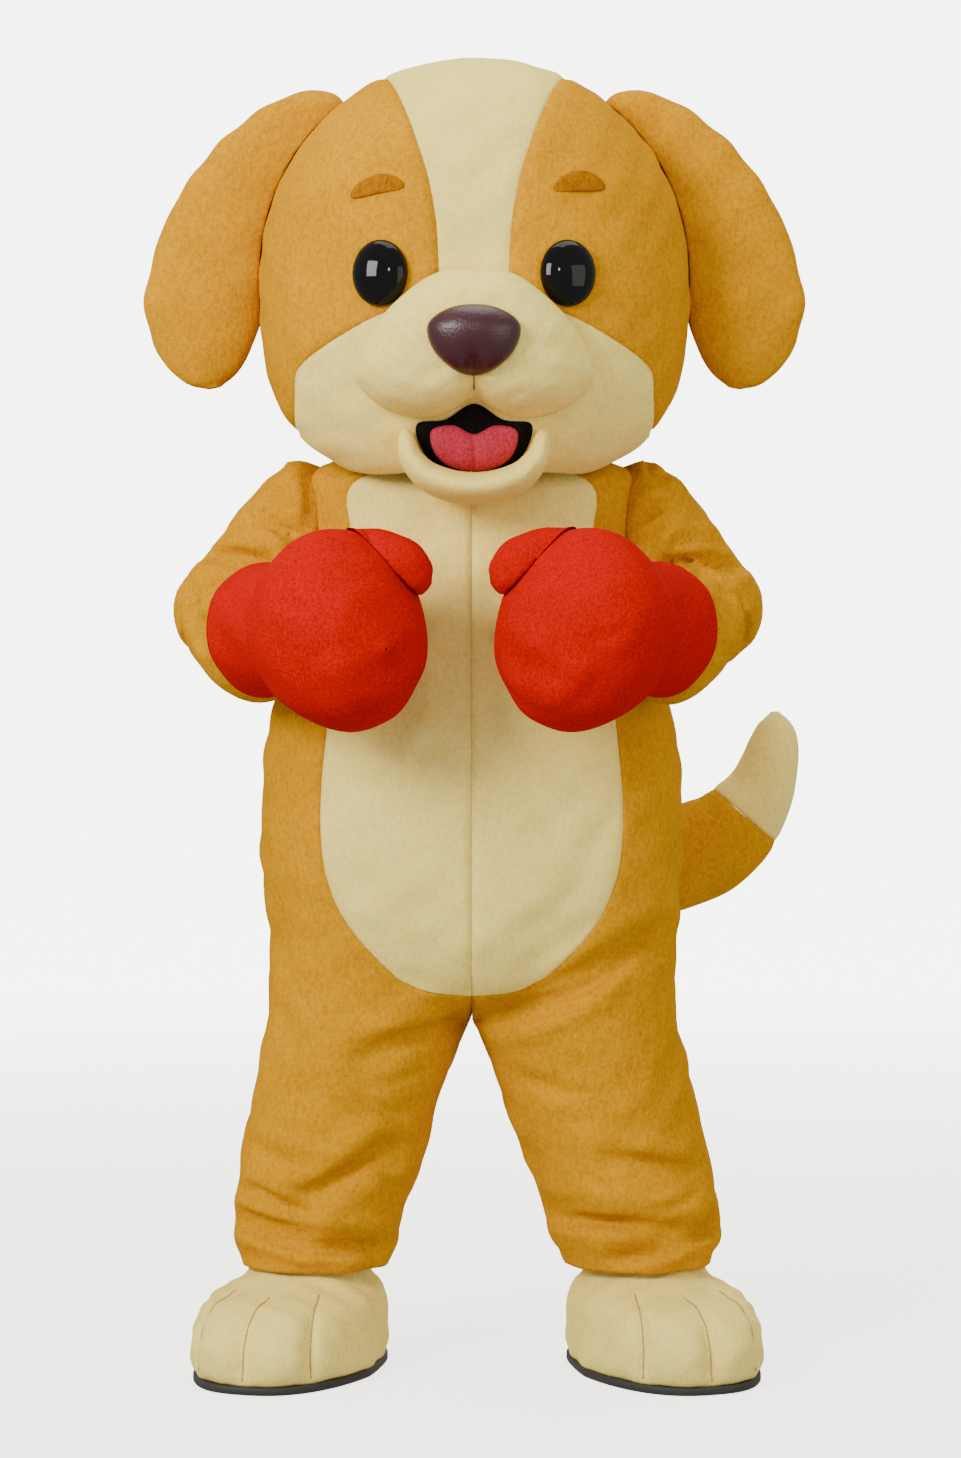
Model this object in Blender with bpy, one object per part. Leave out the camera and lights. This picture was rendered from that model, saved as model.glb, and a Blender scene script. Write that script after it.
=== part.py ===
"""A worn dog costume: plush suit, foam head, boxing gloves, paw shoes and a stuffed tail.

Sizes are in metres and heights are above the floor; the dog faces -Y and its left is +X.
Everything hangs from one empty, whose origin is the base of the neck.
"""
import math

import bmesh
import bpy
import numpy as np

HELD_HEIGHT = 1.340  # base of the neck above the floor
SEAM = 0.0003  # space between two pieces at a seam
PLUSH = 0.003  # suit cloth with its pile
FOAM_HEAD = 0.010  # head wall: foam and plush
QUILT = 0.006  # glove wall
SHOE_WALL = 0.006
BODY_GAP = 0.0035  # between a sleeve and the body it lies against
STEP = 0.0005  # step for slopes of a form
LEFT, RIGHT = 1, -1

AMBER = (0.87, 0.45, 0.04)
DARK_AMBER = (0.70, 0.31, 0.02)
CREAM = (0.93, 0.85, 0.58)
RED = (0.75, 0.02, 0.01)
BLACK = (0.012, 0.012, 0.014)
PLUM = (0.075, 0.012, 0.022)
PINK = (0.68, 0.17, 0.23)
COLOURS = {  # slot: colour, roughness
    "amber_plush": (AMBER, 0.9),
    "brow_plush": (DARK_AMBER, 0.9),
    "cream_plush": (CREAM, 0.9),
    "red_fleece": (RED, 0.9),
    "black_lining": (BLACK, 0.8),
    "black_sole": (BLACK, 0.6),
    "plum_nose": (PLUM, 0.35),
    "pink_tongue": (PINK, 0.8),
    "black_eye": (BLACK, 0.08),
}

# The suit's body, rows from the hem of the trunk up
TORSO = [  # row, half width, depth in front, depth behind, rise of the sides
    (0.4980, 0.2940, 0.175, 0.190, 0.000),
    (0.5500, 0.2925, 0.193, 0.197, 0.000),
    (0.6100, 0.2930, 0.205, 0.202, 0.000),
    (0.6670, 0.3000, 0.214, 0.205, 0.000),
    (0.7550, 0.3060, 0.222, 0.204, 0.000),
    (0.8130, 0.3050, 0.222, 0.202, 0.000),
    (0.9000, 0.2980, 0.217, 0.198, 0.000),
    (0.9500, 0.2880, 0.209, 0.193, 0.000),
    (1.0000, 0.2720, 0.198, 0.187, 0.000),
    (1.0500, 0.2570, 0.188, 0.181, 0.000),
    (1.1000, 0.2490, 0.181, 0.176, 0.000),
    (1.1500, 0.2450, 0.175, 0.172, 0.000),
    (1.1900, 0.2420, 0.170, 0.168, 0.003),
    (1.2300, 0.2390, 0.164, 0.162, 0.012),
    (1.2650, 0.2320, 0.155, 0.152, 0.024),
    (1.2800, 0.2060, 0.144, 0.141, 0.0225),
    (1.2900, 0.1640, 0.130, 0.127, 0.0201),
    (1.3000, 0.1200, 0.113, 0.110, 0.0118),
]
FULLNESS = 2.3  # squareness of the body's sections
FORK_POWER = 16  # how near the middle the underside turns in
FACING_DEPTH = 0.05  # depth over which a fold fades round the side
CROTCH = 0.498
CROTCH_TOP = 0.628  # where the underside starts to turn in
HIP_TOP, HIP_BOTTOM = 0.700, 0.440  # where the hips become legs
LEGS = {  # row, centre from the middle, half width, half depth
    LEFT: [
        (0.142, 0.2405, 0.1060, 0.1060),
        (0.158, 0.2395, 0.1120, 0.1100),
        (0.173, 0.2377, 0.1205, 0.1170),
        (0.202, 0.2340, 0.1260, 0.1230),
        (0.260, 0.2210, 0.1308, 0.1290),
        (0.318, 0.2020, 0.1370, 0.1350),
        (0.377, 0.1850, 0.1405, 0.1410),
        (0.435, 0.1690, 0.1430, 0.1500),
        (0.498, 0.1490, 0.1490, 0.1640),
    ],
    RIGHT: [
        (0.142, 0.2275, 0.1055, 0.1060),
        (0.158, 0.2270, 0.1100, 0.1090),
        (0.173, 0.2270, 0.1160, 0.1140),
        (0.202, 0.2232, 0.1200, 0.1190),
        (0.260, 0.2100, 0.1294, 0.1280),
        (0.318, 0.1980, 0.1345, 0.1340),
        (0.377, 0.1840, 0.1359, 0.1400),
        (0.435, 0.1690, 0.1405, 0.1500),
        (0.498, 0.1480, 0.1480, 0.1640),
    ],
}
ARMHOLE = (1.1675, 0.1075, 0.1437)  # middle row, half height, half width round the body
ARMHOLE_STEPS = 8
BELLY_EDGE = [  # height, half width of the pale panel
    (0.5376, 0.000), (0.5420, 0.044), (0.5560, 0.088), (0.5800, 0.120), (0.6016, 0.142),
    (0.6500, 0.180), (0.7060, 0.204), (0.7755, 0.213), (0.8310, 0.212), (0.9285, 0.203),
    (1.0500, 0.192), (1.1926, 0.174), (1.2620, 0.160), (1.2820, 0.122), (1.3000, 0.085),
]
SUIT_FOLDS = [  # side, x, z to x, z, half width, depth, face (-1 front, 1 back)
    (RIGHT, 0.238, 0.248, 0.112, 0.324, 0.018, 0.012, -1),
    (RIGHT, 0.322, 0.212, 0.140, 0.178, 0.014, 0.016, -1),
    (RIGHT, 0.310, 0.250, 0.225, 0.218, 0.014, 0.009, -1),
    (RIGHT, 0.020, 0.490, 0.145, 0.455, 0.024, 0.012, -1),
    (RIGHT, 0.310, 0.195, 0.150, 0.200, 0.018, 0.014, 1),
    (RIGHT, 0.050, 0.480, 0.240, 0.545, 0.030, 0.014, 1),
    (RIGHT, 0.280, 0.300, 0.130, 0.340, 0.022, 0.009, 1),
    (LEFT, 0.045, 0.510, 0.265, 0.625, 0.020, 0.014, -1),
    (LEFT, 0.115, 0.225, 0.285, 0.212, 0.016, 0.012, -1),
    (LEFT, 0.210, 0.172, 0.345, 0.205, 0.014, 0.015, -1),
    (LEFT, 0.195, 0.305, 0.310, 0.280, 0.018, 0.008, -1),
    (LEFT, 0.330, 0.205, 0.150, 0.190, 0.017, 0.015, 1),
    (LEFT, 0.040, 0.500, 0.220, 0.590, 0.028, 0.014, 1),
    (LEFT, 0.300, 0.330, 0.160, 0.290, 0.022, 0.010, 1),
]
SWELL, SWELL_AT = 0.45, 1.9  # the bulge beside a fold: its height, and its place in fold widths
BODY_ROWS = [1.020, 0.965, 0.910, 0.855, 0.800, 0.745, 0.695, 0.650, 0.610, 0.580, 0.556, 0.542]
FORK_ROWS = [0.528, 0.5155, 0.506, 0.500]
LEG_ROWS = [0.472, 0.440, 0.405, 0.370, 0.338, 0.308, 0.280, 0.255, 0.232, 0.212, 0.195, 0.178, 0.160]
HEM = 0.142
NECK_ROWS = [1.300, 1.290, 1.281]

# Sleeves, for the left arm; the right one is its mirror image
SLEEVE = [  # step, centre x, y, z, heading x, y, z, half height, half depth
    (1.0, 0.255, -0.003, 1.179, 0.995, 0.000, -0.100, 0.125, 0.087),
    (2.0, 0.284, 0.007, 1.153, 0.949, -0.125, -0.290, 0.112, 0.104),
    (3.0, 0.307, -0.001, 1.121, 0.797, -0.289, -0.531, 0.098, 0.096),
    (4.0, 0.319, -0.005, 1.097, 0.657, -0.376, -0.653, 0.098, 0.104),
    (5.0, 0.345, -0.030, 1.072, 0.391, -0.479, -0.786, 0.089, 0.095),
    (6.0, 0.337, -0.058, 1.051, 0.128, -0.616, -0.777, 0.091, 0.086),
    (7.0, 0.326, -0.087, 1.059, 0.094, -0.639, -0.764, 0.092, 0.086),
    (8.0, 0.316, -0.120, 1.057, -0.187, -0.812, -0.553, 0.086, 0.089),
    (9.0, 0.296, -0.158, 1.039, -0.473, -0.859, -0.193, 0.089, 0.080),
    (10.0, 0.286, -0.181, 1.054, -0.570, -0.820, 0.000, 0.081, 0.081),
    (11.0, 0.272, -0.202, 1.054, -0.570, -0.820, 0.000, 0.080, 0.080),
]
SLEEVE_ROWS = [1.0, 1.8, 2.6, 3.4, 4.2, 5.0, 5.8, 6.6, 7.4, 8.2, 9.0, 9.9, 11.0]
REACH_STEPS = (2.0, 9.5)  # part of the sleeve that bends inwards with the glove
REACH = {LEFT: (-0.028, -0.022, 0.0), RIGHT: (0.0, 0.0, 0.0)}  # how much further in a glove is held
SLEEVE_FOLDS = [  # side, x, z to x, z as seen from the front, half width, depth
    (RIGHT, 0.372, 1.165, 0.300, 1.152, 0.013, 0.013),
    (RIGHT, 0.300, 1.218, 0.245, 1.198, 0.014, 0.010),
    (RIGHT, 0.405, 1.120, 0.375, 1.040, 0.011, 0.008),
    (RIGHT, 0.318, 1.262, 0.285, 1.300, 0.015, 0.010),
    (LEFT, 0.280, 1.152, 0.385, 1.150, 0.013, 0.013),
    (LEFT, 0.222, 1.205, 0.290, 1.245, 0.014, 0.011),
    (LEFT, 0.330, 1.135, 0.372, 1.030, 0.011, 0.009),
    (LEFT, 0.268, 1.310, 0.270, 1.275, 0.014, 0.009),
]

# Gloves, for the left hand
GLOVE_RIM = (0.289, -0.184, 1.054)
GLOVE_HEADING = (-0.571, -0.821, 0.0)
GLOVE = [  # distance from the rim, half width, half height, drop of the middle
    (0.000, 0.0935, 0.0935, 0.000),
    (0.030, 0.0920, 0.0930, 0.000),
    (0.070, 0.0925, 0.0940, 0.000),
    (0.116, 0.0975, 0.0970, 0.000),
    (0.122, 0.1000, 0.0990, 0.000),
    (0.145, 0.1140, 0.1180, 0.001),
    (0.175, 0.1205, 0.1315, 0.001),
    (0.210, 0.1210, 0.1350, 0.006),
    (0.245, 0.1090, 0.1200, 0.017),
    (0.275, 0.0840, 0.0920, 0.026),
    (0.298, 0.0480, 0.0530, 0.031),
    (0.308, 0.0000, 0.0000, 0.033),
]
CUFF_ROWS = [0.0, 0.030, 0.070, 0.116]
THUMB_GAP = 0.0032
MITT_ROWS = [0.122, 0.142, 0.170, 0.205, 0.238, 0.266, 0.288, 0.302, 0.308]
THUMB = [  # centre x, y, z, half width, half height
    (0.166, -0.308, 1.194, 0.007, 0.004),
    (0.158, -0.313, 1.188, 0.020, 0.009),
    (0.138, -0.324, 1.164, 0.034, 0.028),
    (0.110, -0.336, 1.142, 0.040, 0.041),
    (0.088, -0.343, 1.128, 0.036, 0.039),
    (0.070, -0.347, 1.114, 0.025, 0.028),
    (0.059, -0.349, 1.105, 0.010, 0.011),
]

# Shoes: outline round the ankle's foot point
ANKLE = {LEFT: (0.2485, 0.0), RIGHT: (0.2335, 0.0)}
TOE_OUT = math.radians(18)
FOOT_AHEAD, FOOT_BEHIND, FOOT_HALF = 0.272, 0.110, 0.132
HEEL_NARROW = 0.26  # how much narrower the heel is
WAIST_FROM, WAIST_LONG = 0.10, 0.20  # where the foot starts to narrow, and over what length
FOOT_ROUND, FOOT_SQUARE = 0.86, 0.80  # how full the outline is ahead and aside
ANKLE_RADIUS = 0.083
SOLE = 0.012
SHOE = [  # height, share of the way from the sole's outline to the ankle
    (0.0123, 0.020), (0.034, -0.030), (0.062, -0.020), (0.086, 0.060), (0.104, 0.200),
    (0.114, 0.420), (0.1215, 0.680), (0.1340, 0.900), (0.152, 0.990), (0.190, 1.000),
]
TOE_SEAMS = (-0.62, 0.0, 0.62)  # turns of the toe grooves from straight ahead
TOE_DEPTH, TOE_WIDTH = 0.013, 0.13  # metres, and turns round the foot
TOE_FADE = 0.02  # height over which a toe seam starts

# Tail
TAIL = [  # centre x, y, z, radius; the last rows are the pale tip
    (0.030, 0.205, 0.705, 0.078), (0.052, 0.250, 0.701, 0.080), (0.095, 0.300, 0.699, 0.080),
    (0.165, 0.340, 0.699, 0.081), (0.245, 0.356, 0.702, 0.081), (0.320, 0.360, 0.712, 0.080),
    (0.385, 0.360, 0.742, 0.075), (0.425, 0.360, 0.782, 0.064), (0.450, 0.357, 0.818, 0.054),
    (0.465, 0.353, 0.858, 0.046), (0.472, 0.348, 0.895, 0.038), (0.473, 0.345, 0.925, 0.026),
    (0.472, 0.344, 0.944, 0.006),
]
TAIL_JOIN = 7  # row where the two colours meet
TAIL_SEGMENTS = 14
TAIL_LIFT = 0.0012  # space between the tail's end and the seat

# Head, in its own frame
HEAD_CENTRE = (0.0036, 0.0, 1.569)
HEAD_HALF = 0.310
HEAD_RINGS = [  # degrees up from the front, radius, squareness
    (0, 0.285, 2.5), (45, 0.304, 2.2), (90, 0.317, 2.05), (135, 0.302, 2.2),
    (180, 0.285, 2.4), (210, 0.284, 2.5), (234, 0.298, 2.6), (255, 0.284, 2.8), (270, 0.276, 2.8),
    (285, 0.305, 2.8), (300, 0.357, 2.8), (315, 0.350, 2.8), (330, 0.321, 2.7), (345, 0.298, 2.6),
]
BLAZE = [  # degrees, half width
    (-6.7, 0.0475), (10, 0.053), (22, 0.064), (35, 0.082), (50, 0.102), (65, 0.119),
    (80, 0.131), (95, 0.134), (110, 0.128), (130, 0.105), (150, 0.060), (165, 0.0),
]
CHEEK = [  # degrees, half width
    (-90, 0.165), (-86, 0.200), (-81, 0.228), (-75, 0.244), (-62, 0.254), (-47, 0.2535),
    (-37, 0.247), (-29, 0.216), (-23, 0.179), (-18, 0.137), (-14, 0.090), (-6.7, 0.0475),
]
BLAZE_ROWS = [-6.7, 6, 20, 34, 49, 64, 80, 97, 115, 133, 150, 165]  # degrees
BACK_ROWS = [182, 200, 217, 234]
BLAZE_LOW, UNDER, NAPE = -6.7, -90.0, 234.0  # where the cheeks start, the head's underside and nape
FACE_ROWS = np.linspace(0, 1, 11)
HOLE_STEPS = 5
NECK_HOLE_HALF = 0.165
NECK_HOLE_TURN = 36.0  # degrees of the head's underside, each way
MUZZLE = [  # x and height of the outline, the head's left half
    (0.000, 1.5420), (0.052, 1.5360), (0.100, 1.5040), (0.142, 1.4580), (0.162, 1.4080),
    (0.156, 1.3850), (0.128, 1.3590), (0.088, 1.3445), (0.050, 1.3450), (0.022, 1.3570),
    (0.000, 1.3700),
]
MUZZLE_MIDDLE = (0.0, 1.4300)
MUZZLE_OUT = 0.092
MUZZLE_GAP = 0.0009
LINING = 0.003
FACE_GAP, NOSE_GAP, TONGUE_GAP = 0.0008, 0.0020, 0.0018  # space behind the small parts of the face
NOSE_OUT, TONGUE_OUT, EYE_OUT, BROW_OUT = 0.032, 0.013, 0.022, 0.003  # how far they stand out
ROLL_GAP = 0.0016  # space between the head and the chin or an ear
MOUTH = [(0.000, 1.3620), (0.040, 1.3410), (0.078, 1.3360), (0.073, 1.3060), (0.050, 1.2835), (0.000, 1.2765)]
MOUTH_MIDDLE = (0.0, 1.312)
TONGUE = [(0.000, 1.3240), (0.028, 1.3350), (0.058, 1.3290), (0.056, 1.3040), (0.037, 1.2860),
          (0.000, 1.2785)]
TONGUE_MIDDLE = (0.0, 1.302)
NOSE = [(0.000, 1.4830), (0.036, 1.4770), (0.062, 1.4560), (0.054, 1.4220), (0.026, 1.3960), (0.000, 1.3905)]
NOSE_MIDDLE = (0.0, 1.4420)
EYE_AT = (0.1275, 1.5390)
EYE_HALF = (0.0375, 0.0460)
BROWS = {LEFT: (0.144, 1.665, 0.036, 0.015, -0.10), RIGHT: (0.133, 1.660, 0.037, 0.014, 0.14)}
CHIN = [  # x, y, height, half width and half depth of the roll
    (0.094, -0.260, 1.327, 0.005, 0.006), (0.0935, -0.258, 1.316, 0.011, 0.018),
    (0.087, -0.251, 1.290, 0.016, 0.036), (0.066, -0.242, 1.266, 0.020, 0.050),
    (0.034, -0.236, 1.252, 0.022, 0.058), (0.000, -0.233, 1.2480, 0.022, 0.060),
]
EAR = [  # x, y, z of the middle, half width, half thickness, heading x and z
    (0.190, 0.004, 1.800, 0.022, 0.014, 0.80, 0.30),
    (0.212, 0.002, 1.806, 0.036, 0.024, 0.93, 0.10),
    (0.252, 0.000, 1.786, 0.054, 0.031, 0.85, -0.50),
    (0.304, -0.002, 1.738, 0.068, 0.036, 0.68, -0.72),
    (0.345, -0.006, 1.678, 0.079, 0.038, 0.45, -0.89),
    (0.374, -0.010, 1.612, 0.086, 0.038, 0.22, -0.97),
    (0.389, -0.015, 1.547, 0.0875, 0.036, 0.05, -1.00),
    (0.391, -0.019, 1.492, 0.081, 0.033, -0.08, -1.00),
    (0.386, -0.022, 1.450, 0.063, 0.028, -0.15, -0.98),
    (0.380, -0.025, 1.4225, 0.038, 0.020, -0.20, -0.97),
    (0.376, -0.026, 1.4090, 0.010, 0.008, -0.20, -0.97),
]


def smooth(rows, at):
    """A table's values at a place, on a curve through all its rows."""
    rows = np.array(rows, float)
    x, y = rows[:, 0], rows[:, 1:]
    slope = np.gradient(y, x, axis=0)
    at = np.clip(np.asarray(at, float), x[0], x[-1])
    k = np.clip(np.searchsorted(x, at, side="right") - 1, 0, len(x) - 2)
    span = (x[k + 1] - x[k])[..., None]
    t = (at - x[k])[..., None] / span
    value = (2 * t**3 - 3 * t**2 + 1) * y[k] + (t**3 - 2 * t**2 + t) * span * slope[k]
    return value + (3 * t**2 - 2 * t**3) * y[k + 1] + (t**3 - t**2) * span * slope[k + 1]


def unit(v):
    v = np.asarray(v, float)
    return v / np.maximum(np.linalg.norm(v, axis=-1, keepdims=True), 1e-12)


def power(value, exponent):
    return np.sign(value) * np.abs(value) ** exponent


def seam_in(points, normals, sides):
    """Draws a panel's edges in by half a seam. sides: any of first, last, top, bottom."""
    moved = points.copy()
    for name in sides:
        edge, beside = {
            "first": (np.s_[:, 0], np.s_[:, 1]), "last": (np.s_[:, -1], np.s_[:, -2]),
            "top": (np.s_[0], np.s_[1]), "bottom": (np.s_[-1], np.s_[-2]),
        }[name]
        line = points[edge]
        inward = unit(np.cross(normals[edge], np.gradient(line, axis=0)))
        inward *= np.sign(np.sum(inward * (points[beside] - line), axis=-1, keepdims=True))
        moved[edge] += inward * SEAM / 2
    return moved


def add_mesh(name, slot, points, faces, held):
    """Makes a node's object: joins equal points, turns the faces out and gives it its material."""
    mesh = bpy.data.meshes.new(name)
    mesh.from_pydata([tuple(p) for p in points], [], faces)
    form = bmesh.new()
    form.from_mesh(mesh)
    bmesh.ops.remove_doubles(form, verts=form.verts, dist=2e-6)
    bmesh.ops.triangulate(form, faces=form.faces)
    bmesh.ops.recalc_face_normals(form, faces=form.faces)
    form.to_mesh(mesh)
    form.free()
    mesh.materials.append(bpy.data.materials[slot])
    piece = bpy.data.objects.new(name, mesh)
    bpy.context.collection.objects.link(piece)
    piece.parent = held
    return piece


def wall(points, inner, closed):
    """Points and faces of a wall between two grids, open at its edges or closed round."""
    rows, cols = points.shape[:2]
    both = np.concatenate([points.reshape(-1, 3), inner.reshape(-1, 3)])
    under = rows * cols
    wide = cols if closed else cols - 1
    faces = []
    for i in range(rows - 1):
        for j in range(wide):
            a, b = i * cols + j, i * cols + (j + 1) % cols
            faces.append((a, b, b + cols, a + cols))
            faces.append((under + b, under + a, under + a + cols, under + b + cols))
    for i in (0, rows - 1):
        for j in range(wide):
            a, b = i * cols + j, i * cols + (j + 1) % cols
            faces.append((a, b, under + b, under + a))
    if not closed:
        for j in (0, cols - 1):
            for i in range(rows - 1):
                a, b = i * cols + j, (i + 1) * cols + j
                faces.append((a, b, under + b, under + a))
    return both, faces


def stuffed(points):
    """Points and faces of a solid from a grid closed round, with a flat cap at each end."""
    rows, cols = points.shape[:2]
    every = [points.reshape(-1, 3)]
    faces = []
    for i in range(rows - 1):
        for j in range(cols):
            a, b = i * cols + j, i * cols + (j + 1) % cols
            faces.append((a, b, b + cols, a + cols))
    for n, i in enumerate((0, rows - 1)):
        every.append(points[i].mean(axis=0)[None])
        faces += [(i * cols + j, i * cols + (j + 1) % cols, rows * cols + n) for j in range(cols)]
    return np.concatenate(every), faces


# Making the suit

def fold_depth(points, rows, side, facing):
    """How far the folds draw the cloth in, for points seen from the front or the back."""
    x, z = np.abs(points[..., 0]), points[..., 2]
    depth = np.zeros(x.shape)
    for row in rows:
        if row[0] != side:
            continue
        x0, z0, x1, z1, half, deep = row[1:7]
        faced = facing * row[7] if len(row) > 7 else -facing
        along = np.array([x1 - x0, z1 - z0])
        t = np.clip(((x - x0) * along[0] + (z - z0) * along[1]) / (along @ along), 0, 1)
        off = np.hypot(x - x0 - t * along[0], z - z0 - t * along[1]) / half
        shown = np.clip(faced, 0, 1)
        depth += deep * shown * (np.exp(-off**2) - SWELL * np.exp(-((off - SWELL_AT) ** 2)))
    return depth


def suit(side, row, u):
    """Outside of the suit. row: a height. u: 0 at the centre front, 0.5 at the side, 1 behind."""
    row, u = np.broadcast_arrays(np.asarray(row, float), np.asarray(u, float))
    half, front, back, rise = np.moveaxis(smooth(TORSO, row), -1, 0)
    centre, wide, deep = np.moveaxis(smooth(LEGS[side], row), -1, 0)
    cosine, sine = np.cos(math.pi * u), np.sin(math.pi * u)
    depth = np.where(cosine > 0, front, back)
    torso = np.stack([
        half * power(sine, 2 / FULLNESS), -depth * power(cosine, 2 / FULLNESS), row + rise * sine**2,
    ], axis=-1)
    leg = np.stack([
        centre - wide * np.cos(2 * math.pi * u), -deep * np.sin(2 * math.pi * u), row,
    ], axis=-1)
    t = np.clip((CROTCH_TOP - row) / (CROTCH_TOP - CROTCH), 0, 1)
    wide_t = np.clip((HIP_TOP - row) / (HIP_TOP - HIP_BOTTOM), 0, 1)
    near = cosine**FORK_POWER
    share = near * (1 - np.sqrt(np.maximum(1 - t**2, 0))) + (1 - near) * wide_t**2 * (3 - 2 * wide_t)
    share = share[..., None]
    points = torso * (1 - share) + leg * share
    middle = centre * share[..., 0]
    out = unit(np.stack([points[..., 0] - middle, points[..., 1], np.zeros(row.shape)], axis=-1))
    facing = points[..., 1] / FACING_DEPTH
    points = points - out * fold_depth(points, SUIT_FOLDS, side, facing)[..., None]
    points[..., 0] = np.where(row >= CROTCH, np.maximum(points[..., 0], 0), points[..., 0])
    return points * np.array([side, 1, 1])


def suit_normals(side, row, u):
    """Outward directions of the suit; the centre seam's stay in its plane."""
    row, u = np.broadcast_arrays(np.asarray(row, float), np.asarray(u, float))
    down = suit(side, row - 4 * STEP, u) - suit(side, row + 4 * STEP, u)
    low, high = np.clip(u - 0.004, 0, 1), np.clip(u + 0.004, 0, 1)
    normals = unit(np.cross(suit(side, row, high) - suit(side, row, low), down)) * side * -1
    middle = (row > CROTCH - 1e-6) & ((u < 1e-6) | (u > 1 - 1e-6))
    normals[..., 0] = np.where(middle, 0, normals[..., 0])
    normals = unit(normals)
    fork = middle & (np.abs(row - CROTCH) < 1e-6)
    return np.where(fork[..., None], np.array([0, 0, -1.0]), normals)


def belly_turn(side, row):
    """Where round the body the pale panel ends, at a row."""
    if row <= BELLY_EDGE[0][0]:
        return 0.0
    half = float(smooth(BELLY_EDGE, row)[0])
    low, high = 0.0, 0.5
    for _ in range(40):
        middle = (low + high) / 2
        if abs(float(suit(side, row, middle)[0])) < half:
            low = middle
        else:
            high = middle
    return low


def armhole_turn(row):
    """Half width of the armhole round the body, at a row."""
    middle, half, turn = ARMHOLE
    return turn * math.sqrt(max(0.0, 1 - ((row - middle) / half) ** 2))


def armhole_rows():
    middle, half, _ = ARMHOLE
    return [middle + half * math.cos(math.pi * k / ARMHOLE_STEPS) for k in range(ARMHOLE_STEPS + 1)]


def suit_rows():
    above = NECK_ROWS + armhole_rows() + BODY_ROWS + [BELLY_EDGE[0][0]]
    return above + FORK_ROWS + [CROTCH] + LEG_ROWS + [HEM]


def suit_panel(side, rows, first, last, cols, open_edges=()):
    """Wall of one panel between two lines round the body, given for each row."""
    across = np.linspace(0, 1, cols + 1)
    grid_rows = np.array(rows)[:, None] + 0 * across[None, :]
    turns = np.array(first)[:, None] * (1 - across) + np.array(last)[:, None] * across
    points, normals = suit(side, grid_rows, turns), suit_normals(side, grid_rows, turns)
    edges = [e for e in ("first", "last", "top", "bottom") if e not in open_edges]
    outer = seam_in(points, normals, edges)
    inner = outer - normals * PLUSH
    for grid in (outer, inner):
        x = side * grid[..., 0]
        grid[..., 0] = side * np.where(grid_rows > CROTCH - 1e-6, np.maximum(x, SEAM / 2), x)
    return wall(outer, inner, False)


def add_suit(held):
    """Belly halves, front and back panels of both sides."""
    rows = suit_rows()
    for side, word in ((LEFT, "left"), (RIGHT, "right")):
        edge = [belly_turn(side, r) for r in rows]
        hole = [armhole_turn(r) for r in rows]
        side_front = [0.5 - h for h in hole]
        side_back = [0.5 + h for h in hole]
        last = rows.index(BELLY_EDGE[0][0]) + 1
        belly = suit_panel(side, rows[:last], [0.0] * last, edge[:last], 4, ("top", "bottom"))
        add_mesh("belly_" + word, "cream_plush", *belly, held)
        front = suit_panel(side, rows, edge, side_front, 5, ("top", "bottom"))
        add_mesh("front_" + word, "amber_plush", *front, held)
        back = suit_panel(side, rows, side_back, [1.0] * len(rows), 6, ("top", "bottom"))
        add_mesh("back_" + word, "amber_plush", *back, held)


# Making the sleeves

def sleeve(side, step, turn):
    """Outside of a sleeve past its first ring. turn: 0 at the top, then to the front and down."""
    step, turn = np.broadcast_arrays(np.asarray(step, float), np.asarray(turn, float))
    row = smooth(SLEEVE, step)
    heading = unit(row[..., 3:6])
    level = unit(np.cross(heading, np.array([0, 0, 1.0])))
    rising = np.cross(level, heading)
    points = row[..., 0:3] + rising * (row[..., 6] * np.cos(turn))[..., None]
    points = points + level * (row[..., 7] * np.sin(turn))[..., None]
    out = unit(points - row[..., 0:3])
    facing = out[..., 1] * 3.0
    points = points - out * fold_depth(points, SLEEVE_FOLDS, side, facing)[..., None]
    t = np.clip((step - REACH_STEPS[0]) / (REACH_STEPS[1] - REACH_STEPS[0]), 0, 1)
    points = points + np.array(REACH[side]) * (t * t * (3 - 2 * t))[..., None]
    return clear_of_body(points)


def clear_of_body(points):
    """Moves points that are inside the suit's body to just outside it."""
    half, front, back, _ = np.moveaxis(smooth(TORSO, points[..., 2]), -1, 0)
    x, y = points[..., 0] / half, points[..., 1] / np.where(points[..., 1] < 0, front, back)
    size = (np.abs(x) ** FULLNESS + np.abs(y) ** FULLNESS) ** (1 / FULLNESS)
    grow = np.maximum(1, (1 + BODY_GAP / half) / np.maximum(size, 1e-6))
    return points * np.stack([grow, grow, np.ones(grow.shape)], axis=-1)


def sleeve_normals(side, step, turn):
    along = sleeve(side, step + 0.02, turn) - sleeve(side, step - 0.02, turn)
    around = sleeve(side, step, turn + 0.01) - sleeve(side, step, turn - 0.01)
    normals = unit(np.cross(around, along))
    out = sleeve(side, step, turn) - smooth(SLEEVE, step)[..., 0:3]
    return normals * np.sign(np.sum(normals * out))


def armhole_ring(side):
    """The armhole's edge as the sleeve meets it: points from the top round, and directions out."""
    rows = armhole_rows()
    turns = [0.5 - armhole_turn(r) for r in rows] + [0.5 + armhole_turn(r) for r in rows[-2:0:-1]]
    rows = rows + rows[-2:0:-1]
    line, normals = suit(LEFT, rows, turns), suit_normals(LEFT, np.array(rows), np.array(turns))
    middle = line.mean(axis=0)
    tangent = np.roll(line, -1, 0) - np.roll(line, 1, 0)
    inward = unit(np.cross(normals, tangent))
    inward *= np.sign(np.sum(inward * (middle - line), axis=-1, keepdims=True))
    under = (0.5 - 0.5 * np.cos(np.arange(len(rows)) * math.pi / ARMHOLE_STEPS))[:, None]
    return line + inward * SEAM / 2, unit(normals * (1 - under) - inward * under)


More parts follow.
